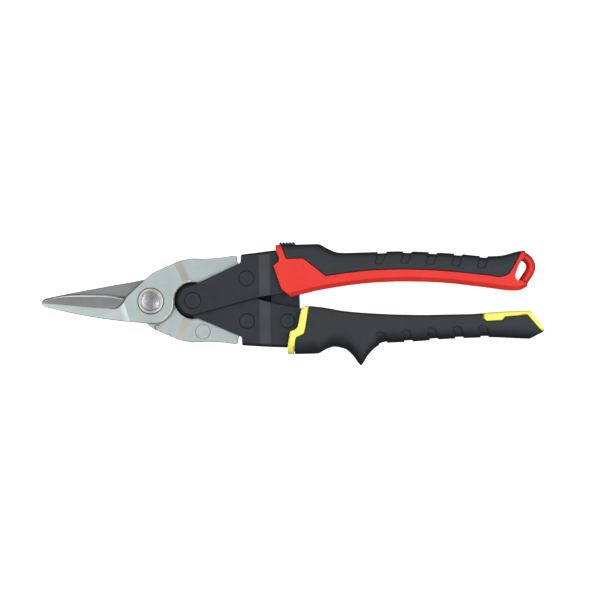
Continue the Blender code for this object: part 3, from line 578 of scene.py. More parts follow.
def blade_steel(name="blade_steel", colour=(0.39, 0.45, 0.45), roughness=0.36, turn=0.12, wear_and_rim_highlight=0.05):
    """Satin steel with fine hairlines along the jaw, faint clouding and edges lightened a little by wear, and
    painted light: brown shade on steep faces, shade in corners and a cream highlight on the neck's rim edges.
    """
    paint = Paint(name, metallic=1)
    hairlines = paint.noise(0.22, 4, (0.03, 1, 1), turn)
    scratches = paint.spread(paint.noise(0.5, 2, (0.06, 1, 1), turn - 0.7), 0.68, 0.74)
    grain = paint.noise(0.12, 2)
    cloud = paint.noise(9, 3)
    base = paint.mixed(paint.spread(paint.calc("ADD", hairlines, cloud), 0.7, 1.3), *shades(colour, 0.07))
    base = paint.mixed(paint.calc("MULTIPLY", paint.edges(0.35), wear_and_rim_highlight), base, (0.72, 0.74, 0.72))
    # painted shade: steep and upright faces, the eased edges among them, turn dark brown
    base = paint.mixed(paint.walls(), base, (0.10, 0.082, 0.068))
    # upright walls go back to a plain grey, so the painted brown shade stays on the eased edges
    base = paint.mixed(paint.walls(0.1, 0.3), base, (0.50, 0.52, 0.51))
    # painted shade: darker in corners and next to neighbouring parts
    base = paint.scaled(base, paint.spread(paint.shade_openness(1.3), 0, 1, 0.4, 1))
    if wear_and_rim_highlight:
        # painted highlight: a cream, barely metallic line on the eased edges round the neck
        rim_highlight = paint.neck_rim_highlight()
        base = paint.mixed(rim_highlight, base, (0.95, 0.92, 0.82))
        paint.put(paint.shader.inputs["Metallic"], paint.spread(rim_highlight, 0, 1, 1, 0.1))
    rough = paint.spread(paint.calc("ADD", hairlines, grain), 0.6, 1.4, roughness - 0.06, roughness + 0.06)
    lined = paint.relief(grain, 0.003, paint.relief(hairlines, 0.004))
    return paint.finish(base, rough, paint.relief(scratches, -0.002, lined))


def ground_steel():
    """The hollow grind and the inner faces: darker, with wheel marks across the cutting edge."""
    return blade_steel("ground_steel", (0.22, 0.235, 0.235), 0.34, 0.5 * math.pi - 0.1, 0)


def edge_steel():
    """The narrow land at the cutting edge, freshly ground."""
    return blade_steel("edge_steel", (0.5, 0.535, 0.53), 0.34, 0.1, 0)


def lit_step_steel():
    """The step in a tang, left duller by the press, with a warmer tone that paints in the light its slope
    catches.
    """
    return blade_steel("lit_step_steel", (0.40, 0.395, 0.38), 0.62, 0.5 * math.pi, 0)


def polished_steel():
    """Bright turned steel with fine rings round the bolt, and a cream tint on the head's outer ring as
    painted reflection.
    """
    paint = Paint("polished_steel", metallic=1)
    radius = paint.distance_from(BOLT)
    rings = paint.add("TexNoise", {"W": radius, "Scale": 4.5, "Detail": 3}, noise_dimensions="1D")
    smudge = paint.noise(2.5, 3)
    base = paint.mixed(paint.spread(smudge, 0.3, 0.7, 0.3, 0.7), (0.29, 0.285, 0.32), (0.35, 0.345, 0.36))
    # painted reflection: the head's outer ring, beyond 4.7 mm, is tinted cream
    rim = paint.spread(radius, 4.7, 5.1)
    base = paint.mixed(rim, base, (0.42, 0.405, 0.37))
    rough = paint.calc("ADD", paint.spread(smudge, 0.3, 0.7, 0.24, 0.3), paint.calc("MULTIPLY", rim, 0.1))
    return paint.finish(base, rough, paint.relief(rings.outputs[0], 0.002))


def zinc_plate():
    """Bluish zinc plating with faint crystals."""
    paint = Paint("zinc_plate", metallic=1)
    crystals = paint.add("TexVoronoi", {"Vector": paint.position, "Scale": 1500})
    flake = paint.add("SeparateColor", {0: crystals.outputs["Color"]}).outputs[0]
    base = paint.mixed(flake, (0.50, 0.51, 0.52), (0.60, 0.61, 0.60))
    return paint.finish(base, paint.spread(flake, 0, 1, 0.3, 0.42), paint.relief(paint.noise(0.3), 0.006))


def black_steel(name="black_handle_steel", specular=0.3, lightness=1.0):
    """Satin black coating with slight orange peel, rubbed a little thinner on its edges, with painted shade
    in corners and on upright faces.
    """
    paint = Paint(name, metallic=0, specular=specular)
    peel = paint.noise(0.9, 2)
    grain = paint.noise(0.25, 2)
    cloud = paint.noise(12, 3)
    # lightness above 1 gives a lit copy, a painted highlight; below 1 a shaded copy, painted shade
    tones = (tuple(lightness * c for c in tone) for tone in ((0.006, 0.01, 0.015), (0.011, 0.016, 0.022)))
    base = paint.mixed(paint.spread(paint.calc("ADD", cloud, grain), 0.75, 1.25), *tones)
    patches = paint.spread(paint.noise(1.8, 4), 0.45, 0.75, 0.05, 0.55)
    base = paint.mixed(paint.calc("MULTIPLY", paint.edges(0.4), patches), base, (0.06, 0.06, 0.06))
    # painted shade: darker in corners and on upright faces
    shade_openness = paint.calc("MULTIPLY", paint.shade_openness(1.1), paint.spread(paint.walls(), 0, 1, 1, 0.15))
    base = paint.scaled(base, shade_openness)
    rough = paint.spread(paint.calc("ADD", peel, grain), 0.6, 1.4, 0.36, 0.46)
    rough = paint.calc("ADD", rough, paint.spread(shade_openness, 0, 1, 0.54, 0))
    return paint.finish(base, rough, paint.relief(grain, 0.006, paint.relief(peel, 0.006)))


def spring_steel():
    """Oiled drawn wire, with streaks along it."""
    paint = Paint("spring_steel", metallic=1)
    streaks = paint.noise(0.12, 3, (0.15, 1, 1))
    base = paint.mixed(streaks, (0.20, 0.20, 0.22), (0.34, 0.34, 0.35))
    return paint.finish(base, paint.spread(streaks, 0.3, 0.7, 0.24, 0.38), paint.relief(streaks, 0.006))


def moulded(name, colour, shade, painted_edge_colour, painted_edge_amount, roughness=0.42, specular=0.25, grain=(0.16, 0.006),
            variation=0.03, edges=(0.5, 0.02, 0.25)):
    """Moulded plastic or rubber: a skin with grain of a size and depth, slight clouding, painted light on the
    edges, and painted shade in corners.
    """
    paint = Paint(name, specular=specular)
    skin = paint.noise(grain[0], 3)
    cell_scale = 0.45 / (grain[0] * MILLIMETRE)
    cells = paint.add("TexVoronoi", {"Vector": paint.position, "Scale": cell_scale})
    cloud = paint.noise(14, 4)
    base = paint.mixed(paint.spread(cloud, 0.3, 0.7), *shades(colour, variation))
    base = paint.mixed(paint.spread(skin, 0.35, 0.6, 0.35, 0), base, shade)
    # painted light on the edges: a lighter tint as a highlight, and on the yellow a deeper, saturated tint as
    # rim shade
    base = paint.mixed(paint.calc("MULTIPLY", paint.edges(*edges), painted_edge_amount), base, painted_edge_colour)
    shade_openness = paint.shade_openness(1.2)
    # painted shade: darker in corners and recesses
    base = paint.scaled(base, paint.spread(shade_openness, 0, 1, 0.3, 1))
    rough = paint.spread(paint.calc("ADD", skin, cloud), 0.6, 1.4, roughness - 0.05, roughness + 0.06)
    rough = paint.calc("ADD", rough, paint.spread(shade_openness, 0, 1, 0.35, 0))
    pebbled = paint.relief(cells.outputs["Distance"], 0.6 * grain[1], paint.relief(skin, grain[1]))
    return paint.finish(base, rough, pebbled)


# each plastic's edge colour is painted light: a highlight, except on the yellow, where it is rim shade
def red_plastic():
    return moulded("red_plastic", (0.61, 0.026, 0.019), (0.56, 0.015, 0.011), (0.78, 0.05, 0.035), 0.35)


def yellow_plastic():
    return moulded("yellow_plastic", (0.76, 0.70, 0.17), (0.70, 0.63, 0.11), (0.74, 0.72, 0.010), 0.95,
                   specular=0.2, edges=(1.5, 0.003, 0.06))


def black_overmould():
    return moulded("black_overmould", (0.007, 0.012, 0.017), (0.002, 0.004, 0.006), (0.02, 0.024, 0.028), 0.3,
                   0.52, 0.37, (0.32, 0.022), 0.1)


def nylon():
    return moulded("nylon", (0.62, 0.65, 0.66), (0.52, 0.55, 0.56), (0.7, 0.72, 0.73), 0.2,
                   0.45, 0.35, (0.2, 0.006))


# --- blades, drawn as the upper-handle blade whose jaw lies in front ---
CUTTING_EDGE = [(-54.4, 1.2), (-49.6, 2.4), (-44.5, 3.4), (-40.8, 3.7), (-32.8, 3.8), (-25.7, 3.7),
                (-19.7, 3.2), (-12.6, 1.9)]
UPPER_SPINE = [(-53.9, -2), (-47.4, -3.7), (-32.7, -7), (-16.8, -9.6), (-1.7, -11.2)]
LOWER_SPINE = [(-53.9, -2), (-47.4, -3.3), (-40, -4.7), (-28.8, -6.6), (-18.7, -8.3), (-8.6, -9.9),
               (-1.7, -11.2)]


def blade_outline(jaw_spine):
    tip = smooth_path([(-54.4, 1.2), (-55.1, 0.5), (-54.9, -1), (-53.9, -2)], 0.3)[:-1]
    spine = smooth_path(jaw_spine)
    boss = arc(BOLT, BOSS_RADIUS, -76, 8)
    relief = arc(HANDLE_PIVOT, LIP_RADIUS, 147, 80)
    inner_edge = smooth_path([(27.5, 8.5), (36, 6.6), (41.6, 6.4)])
    lobe = arc(UPPER_RIVET, TANG_RADIUS, -145, 112)
    shoulder = [(43.9, 18.9), (43.8, 22), (43, 22.4)]
    back = smooth_path([(34.7, 21.3), (27.6, 21), (20.1, 21.1), (15.4, 20.2), (10.6, 18.35), (6, 16.3),
                        (1.4, 14.2), (-3.4, 10.4)])
    edge = smooth_path(CUTTING_EDGE[::-1])[:-1]
    return tip + spine + boss + relief + inner_edge + lobe + shoulder + back + edge


def neck_relief():
    """Clears the other blade's boss from the raised neck, which starts outside NECK_RADIUS."""
    swing = arc(BOLT, NECK_RADIUS, 18, 81)
    return [(14.5, 3), *swing, (2.1, 30), (-2.6, 30), (-2.6, -20), (14.5, -20)]


def grind(ground, edge_paint):
    """The hollow grind behind the cutting edge, as a cutter that opens towards +Z."""
    shoulder = curve([(-57, 0.1), (-53.9, -0.4), (-46.1, -1.1), (-36, -2.2), (-25.9, -3.2), (-10, -4.3)])
    edge = curve([(-57, 1), *CUTTING_EDGE, (-10, 1.4)])
    steps = 8
    rings = []
    for x in between(-57, -10, 60):
        start, end = shoulder(x), edge(x)
        share = min(max((end - start) / 6.5, 0.3), 1)  # of the full depth
        rim = BLADE_FACE - (BLADE_THICKNESS - EDGE_THICKNESS) * share
        reach = end - EDGE_LAND * share - start
        hollow = [(start + reach * t, BLADE_FACE - GRIND_DEPTH * share * t**0.85)
                  for t in between(0, 1, steps)]
        profile = [*hollow, (end + 0.4, rim), (end + 4, rim), (end + 4, 9), (start, 9)]
        rings.append([(x, y, z) for y, z in profile])
    cutter = painted(loft("grind", rings), ground, edge_paint)
    for face in cutter.data.polygons[:-2]:
        face.material_index = int(face.index % len(rings[0]) == steps)
    heel = smooth_path([(-25.9, -4.4), (-21.5, -3.9), (-18.6, -3.55), (-16.2, -2.7), (-14.4, -1),
                        (-12.6, 1.6)])
    region = prism("heel", [*heel, (-12, 12), (-60, 12), (-60, -4.4)], -9, 12)
    return kept_inside(cutter, painted(region, ground))


def thinning(distance):
    """How far the jaw's outer face lies below the boss, at a distance past the start of its taper."""
    along = min(distance, RUN_OUT)
    run_out = RUN_OUT_SLOPE * (along - 0.5 * along**2 / RUN_OUT)
    scoop = 0.5 * RUN_OUT_SLOPE * RUN_OUT
    return run_out + (TIP_THINNING * BLADE_THICKNESS - scoop) * distance / JAW_LENGTH


def bend_blade(piece, lit_step):
    """Steps the tang down to the middle plane and thins the jaw towards its tip."""
    slice_up(piece, JOGGLE_NORMAL, between(JOGGLE_START, JOGGLE_END, 24))
    slice_up(piece, TAPER_NORMAL, between(TAPER_START - RUN_OUT, TAPER_START, 9))
    tang_scale = BLADE_THICKNESS / (BLADE_THICKNESS + NECK_RISE)
    for vertex in piece.data.vertices:
        along = vertex.co.dot(JOGGLE_NORMAL)
        step = ramp((along - JOGGLE_START) / (JOGGLE_END - JOGGLE_START))
        tang_level = 0.5 * BLADE_THICKNESS - (BLADE_FACE - vertex.co.z) * tang_scale
        vertex.co.z += (tang_level - vertex.co.z) * step
        past = TAPER_START - vertex.co.dot(TAPER_NORMAL)
        if past > 0 and vertex.co.z > BLADE_LEVEL:
            vertex.co.z -= (vertex.co.z - BLADE_LEVEL) / BLADE_THICKNESS * thinning(past)
    # the step's band takes a steel whose warmer tone is painted light from its slope
    painted(piece, lit_step)
    return mark_band(piece, JOGGLE_NORMAL, JOGGLE_START, JOGGLE_END, 0.5, len(piece.data.materials) - 1)


def mark_band(piece, normal, start, end, flatness, paint_index):
    """Paints the flat faces of the band that a bend leaves across a piece."""
    for face in piece.data.polygons:
        if start < face.center.dot(normal) < end and abs(face.normal.z) > flatness:
            face.material_index = paint_index
    return piece


def blade(name, spine, bolt_radius, steels):
    """steels are those of the flats, the grind, the cutting edge and the step, whose warmer tone is painted
    light.
    """
    satin, ground, edge, lit_step = steels
    piece = painted(prism(name, blade_outline(spine), BLADE_LEVEL - NECK_RISE, BLADE_FACE), satin)
    relief = painted(prism("neck relief", neck_relief(), -9, BLADE_LEVEL), satin)
    jaw = [(-2.5, 30), (-60, 30), (-60, -20), (-2.5, -20)]
    inside = painted(prism("jaw inside", jaw, -9, BLADE_LEVEL), ground)
    bend_blade(cut_away(piece, relief, inside, grind(ground, edge)), lit_step)
    return cut_away(piece, painted(plug(HANDLE_PIVOT, NOSE_ROOM, NOSE_FLOOR, 9, 120), satin),
                    painted(plug(BOLT, bolt_radius), ground),
                    painted(plug(UPPER_RIVET, RIVET_SHANK + GAP), ground))


def make_upper_blade(steels):
    piece = blade("upper_blade", UPPER_SPINE, BOLT_SHANK + OPEN_PIVOT_CLEARANCE, steels)
    cut_away(piece, painted(plug(BOLT, BOLT_SINK, COUNTERBORE_FLOOR, 9), steels[1]))
    return eased(piece, BLADE_EASE, 1, [(BOLT, BOLT_SINK), (UPPER_RIVET, RIVET_SHANK + GAP)])


def make_lower_blade(steels):
    """The same forging turned over about the long axis, with a slimmer jaw."""
    piece = blade("lower_blade", LOWER_SPINE, BOLT_SHANK + GAP, steels)
    piece.data.transform(Matrix.Rotation(math.pi, 4, "X"))
    cut_away(piece, painted(plug(STOP_PIN, STOP_PIN_HOLE), steels[1]))
    return eased(piece, BLADE_EASE, 1, [(STOP_PIN, STOP_PIN_HOLE)])


def make_blade_stop_pin():
    """A flush pin whose wider foot nearly closes its hole."""
    foot = STOP_PIN_HOLE - 0.02
    profile = [(0, -4.1), (2.7, -4.1), (3, -3.8), (3, -2.2), (foot, -2.2), (foot, -1.8),
               (STOP_PIN_RADIUS, -1.8), (STOP_PIN_RADIUS, 2.2), (0, 2.2)]
    return turned("blade_stop_pin", STOP_PIN, profile)


# --- blade bolt, washer and lock nut ---
def make_pivot_bolt():
    seat = COUNTERBORE_FLOOR + GAP
    top = BOLT_HEAD_TOP
    rim, bend = BOLT_DOME
    dome = [(r, top - bend + math.sqrt(bend**2 - r**2)) for r in between(rim, 0, 12)]
    profile = [(0, -10.2), (BOLT_SHANK - 0.4, -10.2), (BOLT_SHANK, -9.8), (BOLT_SHANK, seat),
               (BOLT_HEAD - 0.1, seat), (BOLT_HEAD, seat + 0.1), (BOLT_HEAD, top - 1.2),
               (BOLT_HEAD - 0.12, top - 0.95), (BOLT_HEAD - 0.45, top - 0.78), (BOLT_HEAD - 0.8, top - 0.74),
               (5.2, top - 0.76), (5.05, top - 0.95), (4.85, top - 1), (4.65, top - 0.9),
               *dome[:-1], (0, top)]
    return turned("pivot_bolt", BOLT, profile, 96)


def make_pivot_washer():
    return tube("pivot_washer", BOLT, BOLT_SHANK + GAP, 6.6, -5.85, -4.85)


def make_pivot_nut():
    across = NUT_ACROSS_FLATS / math.sqrt(3)
    piece = prism("pivot_nut", arc(BOLT, across, 0, 360, 6)[:-1], -HALF_DEPTH, -6.15)
    barrel = [(0, -HALF_DEPTH - 1), (across - 1.6, -HALF_DEPTH - 1), (across + 0.4, 1 - HALF_DEPTH),
              (across + 0.4, -6), (0, -6)]
    kept_inside(piece, turned("nut chamfer", BOLT, barrel))
    bore = [(0, -11.5), (5.1, -11.5), (5.1, -8.9), (BOLT_SHANK + GAP, -8.9), (BOLT_SHANK + GAP, -5), (0, -5)]
    return eased(cut_away(piece, turned("nut bore", BOLT, bore)), 0.15)


def make_nut_insert():
    return tube("pivot_nut_insert", BOLT, BOLT_SHANK + GAP, 4.8, -10.1, -9.2)


# --- rivets, pins and washers of the handles ---
# centre, head radius, half the distance over the outer faces, shank radius
RIVETS = {
    "handle_pivot_rivet": (HANDLE_PIVOT, HANDLE_RIVET_HEAD, UPPER_OUTER, RIVET_SHANK),
    "upper_blade_rivet": (UPPER_RIVET, RIVET_HEAD, UPPER_OUTER, RIVET_SHANK),
    "lower_blade_rivet": (LOWER_RIVET, RIVET_HEAD, LOWER_OUTER, RIVET_SHANK),
    "latch_catch_pin": (CATCH_PIN, CATCH_PIN_HEAD, LOWER_OUTER + CHANNEL_JOGGLE, CATCH_PIN_SHANK),
}


def rivet_hole(name):
    """The room for a rivet with a flush head in each outer plate face."""
    centre, head, outer, shank = RIVETS[name]
    inner = outer - RIVET_HEAD_HEIGHT - GAP
    top = outer + 9
    r = shank + GAP
    h = head + GAP
    profile = [(0, -top), (h, -top), (h, -inner), (r, -inner), (r, inner), (h, inner), (h, top), (0, top)]
    return turned("rivet hole", centre, profile)


def rivet(name):
    """A rivet whose flush heads have a slightly dished middle and an eased rim."""
    centre, head, outer, shank = RIVETS[name]
    inner = outer - RIVET_HEAD_HEIGHT
    ease = 0.16
    upper = [(shank, inner), (head, inner), (head, outer - ease), (head - 0.3 * ease, outer - 0.3 * ease),
             (head - ease, outer), (0.82 * head, outer), (0.72 * head, outer - 0.06), (0, outer - 0.1)]
    return turned(name, centre, [(radius, -z) for radius, z in reversed(upper)] + upper)


def make_handle_bush():
    half = 0.5 * BLADE_THICKNESS
    return tube("handle_pivot_bush", HANDLE_PIVOT, RIVET_SHANK + 0.25, 3.25, -half, half)


def tang_washer(name, side):
    low, high = sorted((side * LOWER_PLATE_INNER, side * LOWER_OUTER))
    return tube(name, UPPER_RIVET, RIVET_SHANK + GAP, 5.6, low, high)


def make_return_spring():
    """A torsion spring round the handle pivot; each leg runs back to its handle's web."""
    steps = int(32 * SPRING_TURNS)
    circle = arc(HANDLE_PIVOT, SPRING_COIL, 90, 90 + 360 * SPRING_TURNS, steps)
    heights = between(SPRING_HALF_HEIGHT, -SPRING_HALF_HEIGHT, steps)
    coil = [(x, y, z) for (x, y), z in zip(circle, heights)]
    leg = smooth_path([(61.4, 19.6), (59.4, 10), (57.6, 4), (55, 2.4), (34, 2.4), (27.5, 3.6)], 0.6)
    start = [(x, y, SPRING_HALF_HEIGHT) for x, y in leg]
    end = [(x, -y, -SPRING_HALF_HEIGHT) for x, y in reversed(leg)]
    return swept("return_spring", start + coil + end, 2 * SPRING_WIRE, 2 * SPRING_WIRE, 16)


# --- handle channels, drawn for the upper handle ---
UPPER_WEB_EDGE = smooth_path([(WEB_START, 22.8), (53.5, 23.6), (63.1, 24.6), (82, 24.5), (93, 20.2),
                              (122, 20), (CHANNEL_END, 18.9)], COARSE_PITCH)
LOWER_WEB_EDGE = smooth_path([(WEB_START, -23.1), (54.8, -23.8), (68.4, -24.5), (81, -24.5), (91, -21.4),
                              (122, -19.8), (CHANNEL_END, -18.4)], COARSE_PITCH)
UPPER_MOUTH = smooth_path([(CHANNEL_END, 10), (125, 11), (95, 8.9), (75, 4.6), (67.9, 2.8),
                           (53.7, 0.8), (45, -1.4), (36, -3.75)], COARSE_PITCH)
LOWER_MOUTH = smooth_path([(CHANNEL_END, -12.2), (126, -11.8), (98.6, -9.8), (84, -7.3), (75.3, -4.7),
                           (60.2, -1.4), (53.6, 0.6), (40, 4.6)], COARSE_PITCH)[:-6]
LOWER_NOSE = arc(HANDLE_PIVOT, LOWER_NOSE_RADIUS, 66, 284)


def upper_channel_outline():
    nose = arc(HANDLE_PIVOT, UPPER_NOSE_RADIUS, 285, 112)
    rise = smooth_path([(25.4, 9.4), (35.1, 13.75), (44.6, 18.1)]) + [(WEB_START - 0.2, 18.7)]
    return nose + rise + UPPER_WEB_EDGE + UPPER_MOUTH


def lower_channel_outline():
    fall = smooth_path([(32.2, -12.7), (44.2, -18.1)]) + [(WEB_START - 0.2, -18.9)]
    return LOWER_NOSE + fall + LOWER_WEB_EDGE + LOWER_MOUTH


def round_long_edges(piece, outline, half_width, radius, paint_index=-1):
    """Rounds the edges of both faces that follow an outline."""
    xs, ys = np.array(outline).T
    near = 0.01

    def on_outline(vertex):
        distances = np.hypot(xs - vertex.co.x, ys - vertex.co.y)
        return abs(abs(vertex.co.z) - half_width) < near and distances.min() < near

    with editing(piece) as solid:
        edges = [e for e in solid.edges if all(on_outline(v) for v in e.verts)
                 and abs(e.verts[0].co.z - e.verts[1].co.z) < near]
        bmesh.ops.bevel(solid, geom=edges, offset=radius, segments=8, profile=0.5, affect="EDGES",
                        clamp_overlap=False, material=paint_index)


def channel(name, outline, web, mouth, inner, side, paints):
    """Two plates joined by a web; side is +1 where the web lies at the top.

    paints are those of the plates, of their bend band, a lighter copy that paints a highlight there, and of
    the nose, a near-black copy that paints the shade of its recess.
    """
    outer = inner + PLATE
    piece = painted(slab(name, outline, outer), *paints)
    round_long_edges(piece, web, outer, WEB_BEND_RADIUS)
    if side < 0:
        # painted shade: the nose's rounded edges take a near-black copy of the steel, standing in for the
        # shade of its recess
        round_long_edges(piece, LOWER_NOSE[2:-2], outer, NOSE_ROUNDING, 2)
    under_web = [(x + 0.4, y - side * PLATE) for x, y in web[1:]]
    first = (WEB_START - 3, under_web[0][1] - side * 0.8)
    wall = [(CHANNEL_END + 5, under_web[-1][1]), (CHANNEL_END + 5, mouth[0][1] - side * 30),
            (5, -side * 40), (5, side * 40), (WEB_START - 3, side * 40)]
    cut_away(piece, slab("inside", [first, *under_web, *wall], inner))
    along = Vector((1, 0, 0))
    slice_up(piece, along, between(CHANNEL_JOGGLE_START, CHANNEL_JOGGLE_END, 24))
    for vertex in piece.data.vertices:
        step = ramp((vertex.co.x - CHANNEL_JOGGLE_START) / (CHANNEL_JOGGLE_END - CHANNEL_JOGGLE_START))
        share = min(abs(vertex.co.z) / inner, 1)
        vertex.co.z += math.copysign(CHANNEL_JOGGLE * step * share, vertex.co.z)
    # the bend band takes the lighter copy, a painted highlight where the slope catches light
    return mark_band(piece, along, CHANNEL_JOGGLE_START, CHANNEL_JOGGLE_END, 0.9, 1)


def make_upper_channel(paints):
    piece = channel("upper_handle_channel", upper_channel_outline(), UPPER_WEB_EDGE, UPPER_MOUTH,
                    UPPER_PLATE_INNER, 1, paints)
    cut_away(piece, rivet_hole("handle_pivot_rivet"), rivet_hole("upper_blade_rivet"),
             plug(LATCH_PIVOT, LATCH_PIN + GAP), block(65.4, 20, 76.4, 30, 1.7))
    return eased(piece, 0.45, 1, [(HANDLE_PIVOT, HANDLE_RIVET_HEAD + GAP), (UPPER_RIVET, RIVET_HEAD + GAP)])


def make_lower_channel(paints):
    piece = channel("lower_handle_channel", lower_channel_outline(), LOWER_WEB_EDGE, LOWER_MOUTH,
                    LOWER_PLATE_INNER, -1, paints)
    cut_away(piece, plug(HANDLE_PIVOT, RIVET_SHANK + GAP), rivet_hole("lower_blade_rivet"),
             rivet_hole("latch_catch_pin"))
    return eased(piece, 0.3, 1, [(LOWER_RIVET, RIVET_HEAD + GAP), (CATCH_PIN, CATCH_PIN_HEAD + GAP)])


# --- latch ---
def latch_outline():
    """A flat lever whose hook opens towards the jaws, under the catch pin once it swings in."""
    x, y = LATCH_PIVOT
    pin = Vector(CATCH_PIN) - Vector(LATCH_PIVOT)
    turn = Matrix.Rotation(LATCH_SWING, 2)
    seat = tuple(Vector(LATCH_PIVOT) + turn @ pin)
    throat = CATCH_PIN_SHANK + GAP + 0.1
    neck = [(x - LATCH_NECK, 27.3), (x - LATCH_NECK, 20), (x - 5.2, 15)]
    front = [(x - 5.2, 7), (x - 8.5, 4.4), (x - 8.8, -2.4), (x - 5.1, -5.2), (x - 3, seat[1] + throat)]
    slot = arc(seat, throat, 90, -90)
    toe = [(71.9, -15.4), (72.7, -16.6), (76.2, -16.6), (77.2, -15.2), (77.3, -9.5), (75.3, -5)]
    back = [(75.3, 9), (75, 15), (x + LATCH_NECK, 20), (x + LATCH_NECK, 27.3)]
    return rounded(neck + front + slot + toe + back, 0.8)


def latch_nose(paint):
    """The lever's thin nose, which passes between the return spring's legs."""
    outline = [(64, 4.4), (60.5, 4), (56.5, 2), (53.4, 1.2), (53.4, 0.2), (57, -1.6), (64, -3)]
    return painted(slab("latch nose", rounded(outline, 0.4), NOSE_HALF_THICKNESS), paint)


def make_latch_lever(plain, shade_paint):
    piece = painted(slab("latch_lever", latch_outline(), LATCH_HALF_THICKNESS), plain)
    # painted shade: the thin nose takes a near-black copy of the steel, standing in for the shade between the
    # handles
    joined(piece, latch_nose(shade_paint))
    return eased(cut_away(piece, plug(LATCH_PIVOT, LATCH_PIN + GAP)), 0.2)


def make_latch_pad():
    """A serrated thumb pad that sits over the top end of the lever."""
    left = LATCH_PIVOT[0] - 4.3
    pitch = PAD_LENGTH / PAD_TEETH
    outline = [(left + PAD_LENGTH, 25.9), (left, 25.9)]
    for k in range(PAD_TEETH):
        outline += [(left + pitch * (k + 0.15), 28.7), (left + pitch * (k + 0.55), 28.7),
                    (left + pitch * (k + 0.95), 27.9)]
    piece = slab("latch_thumb_pad", rounded(outline, 0.3), PAD_HALF_WIDTH)
    neck = LATCH_NECK + GAP
    x = LATCH_PIVOT[0]
    return eased(cut_away(piece, block(x - neck, 24, x + neck, 27.6, LATCH_HALF_THICKNESS + GAP)), 0.15)


def make_latch_pin():
    half = UPPER_OUTER + CHANNEL_JOGGLE - 0.1
    ease = 0.3
    profile = [(0, -half), (LATCH_PIN - ease, -half), (LATCH_PIN, ease - half), (LATCH_PIN, half - ease),
               (LATCH_PIN - ease, half), (0, half)]
    return turned("latch_pivot_pin", LATCH_PIVOT, profile)


def latch_spacer(name, low, high):
    return tube(name, LATCH_PIVOT, LATCH_PIN + GAP, 4.2, low, high, 0.1)


# --- grips ---
def grip_solid(name, grip, inset):
    """Lofts a grip along X, moved inwards by inset."""
    half = HALF_DEPTH - inset
    rings = []
    for x in grip.stations:
        ring = []
        for edge, side, sizes, steps in ((grip.bottom, 1, grip.bottom_corner, grip.bottom_steps),
                                         (grip.top, -1, grip.top_corner, grip.top_steps)):
            depth, rise = (max(size - inset, 0.4) for size in sizes(x))
            y = edge(x) + side * (inset + rise)
            start = -90 if side > 0 else 0
            quarter = arc((0, 0), 1, start, start + 90, steps)
            ring += [(half - depth + depth * c, y + rise * s) for c, s in quarter]
        rings.append([(x, y, z) for z, y in ring + [(-z, y) for z, y in reversed(ring)]])
    return loft(name, rings)


# the grips' side outlines, and depth and rise of the corners along them
UPPER_GRIP = SimpleNamespace(
    stations=[60, *between(70.6, 192, 110)],
    top=curve([(58, 27.3), (74, 27.4), (84.9, 27.5), (89.5, 25.2), (94.5, 23.1), (98.5, 22.8), (114.2, 23),
               (124, 23.2), (134, 22.9), (146.6, 22.1), (156.7, 21.3), (166.8, 20.2), (172.9, 20),
               (177.9, 20.3), (182, 21.2), (187.6, 22.5), (194, 22.6)]),
    bottom=curve([(58, -3), (70.7, 1), (77.5, 2.5), (86.6, 4.4), (104.9, 6.9), (114, 7.6), (126.1, 7.9),
                  (138.3, 7.6), (148.9, 6.9), (170.1, 4.2), (184.2, 2.4), (186, 2.5), (190, 4.4),
                  (194, 6.5)]),
    top_corner=lambda x: (4.4, 5.6),
    bottom_corner=lambda x: (2.2, 2.2),
    top_steps=8,
    bottom_steps=1,
)

LOWER_GIRTH = curve([(62, 8.6), (112, 8.8), (128, 7), (170, 6.4), (201, 6.4)])
LOWER_FIN = curve([(94, 0), (101, 1), (105.8, 6), (110, 1.5), (117, 0)])
LOWER_GRIP = SimpleNamespace(
    stations=between(65, 96, 26) + between(96.8, 114.4, 32) + between(115.4, 199, 72),
    top=curve([(62, -3.6), (80.1, -3.8), (86.5, -4.5), (98.6, -6.7), (113.7, -8.1), (125.9, -8.8),
               (141, -9.2), (161.3, -9.1), (176.5, -8.2), (190.7, -7.8), (201, -7.7)]),
    bottom=curve([(62, -28), (83.6, -27.9), (88.7, -25.5), (92.5, -24.5), (97.8, -25.7), (100.8, -28.1),
                  (103.2, -31.1), (105, -33.7), (105.8, -34.2), (106.8, -33.1), (108.8, -29.8),
                  (111.9, -26.3), (115, -24.1), (119, -23), (130.7, -22.6), (151, -21.4), (171.2, -21),
                  (184.4, -21.7), (201, -22.6)]),
    top_corner=lambda x: (1.8, 1.8),
    bottom_corner=lambda x: (LOWER_GIRTH(x) - 1.2, LOWER_GIRTH(x) + 0.8 * LOWER_FIN(x)),
    top_steps=5,
    bottom_steps=8,
)

UPPER_SLEEVE_REGION = rounded([
    (63.4, 40), (63.4, 27.1), (63.5, 24.6), (65.2, 20.5), (64.7, 18.8), (62.2, 16.9), (66.1, 5.1), (70.7, 1),
    (72, -6), (190.2, -6), (190.2, 5.2), (189.6, 6.2), (186.8, 7.6), (185.3, 7.6), (184.1, 8.9),
    (184, 10.6), (185.8, 15.2), (187, 17.3), (188.8, 19.2), (189.4, 21.6), (189.4, 40)], 0.7)

UPPER_COVER_REGION = rounded([
    (66.3, 40), (66.6, 27.2), (68.8, 20.5), (77.4, 20.6),
    *smooth_path([(88.6, 11.6), (98.9, 12.9), (111, 14), (121.2, 14.3), (136.3, 14), (149, 13.1), (159.1, 12),
                  (169.2, 10.8), (178.3, 10.1), (180.3, 11), (183.4, 15.6), (187.1, 22.3)], 1.5),
    (188.5, 26), (188.5, 40)], 0.5)

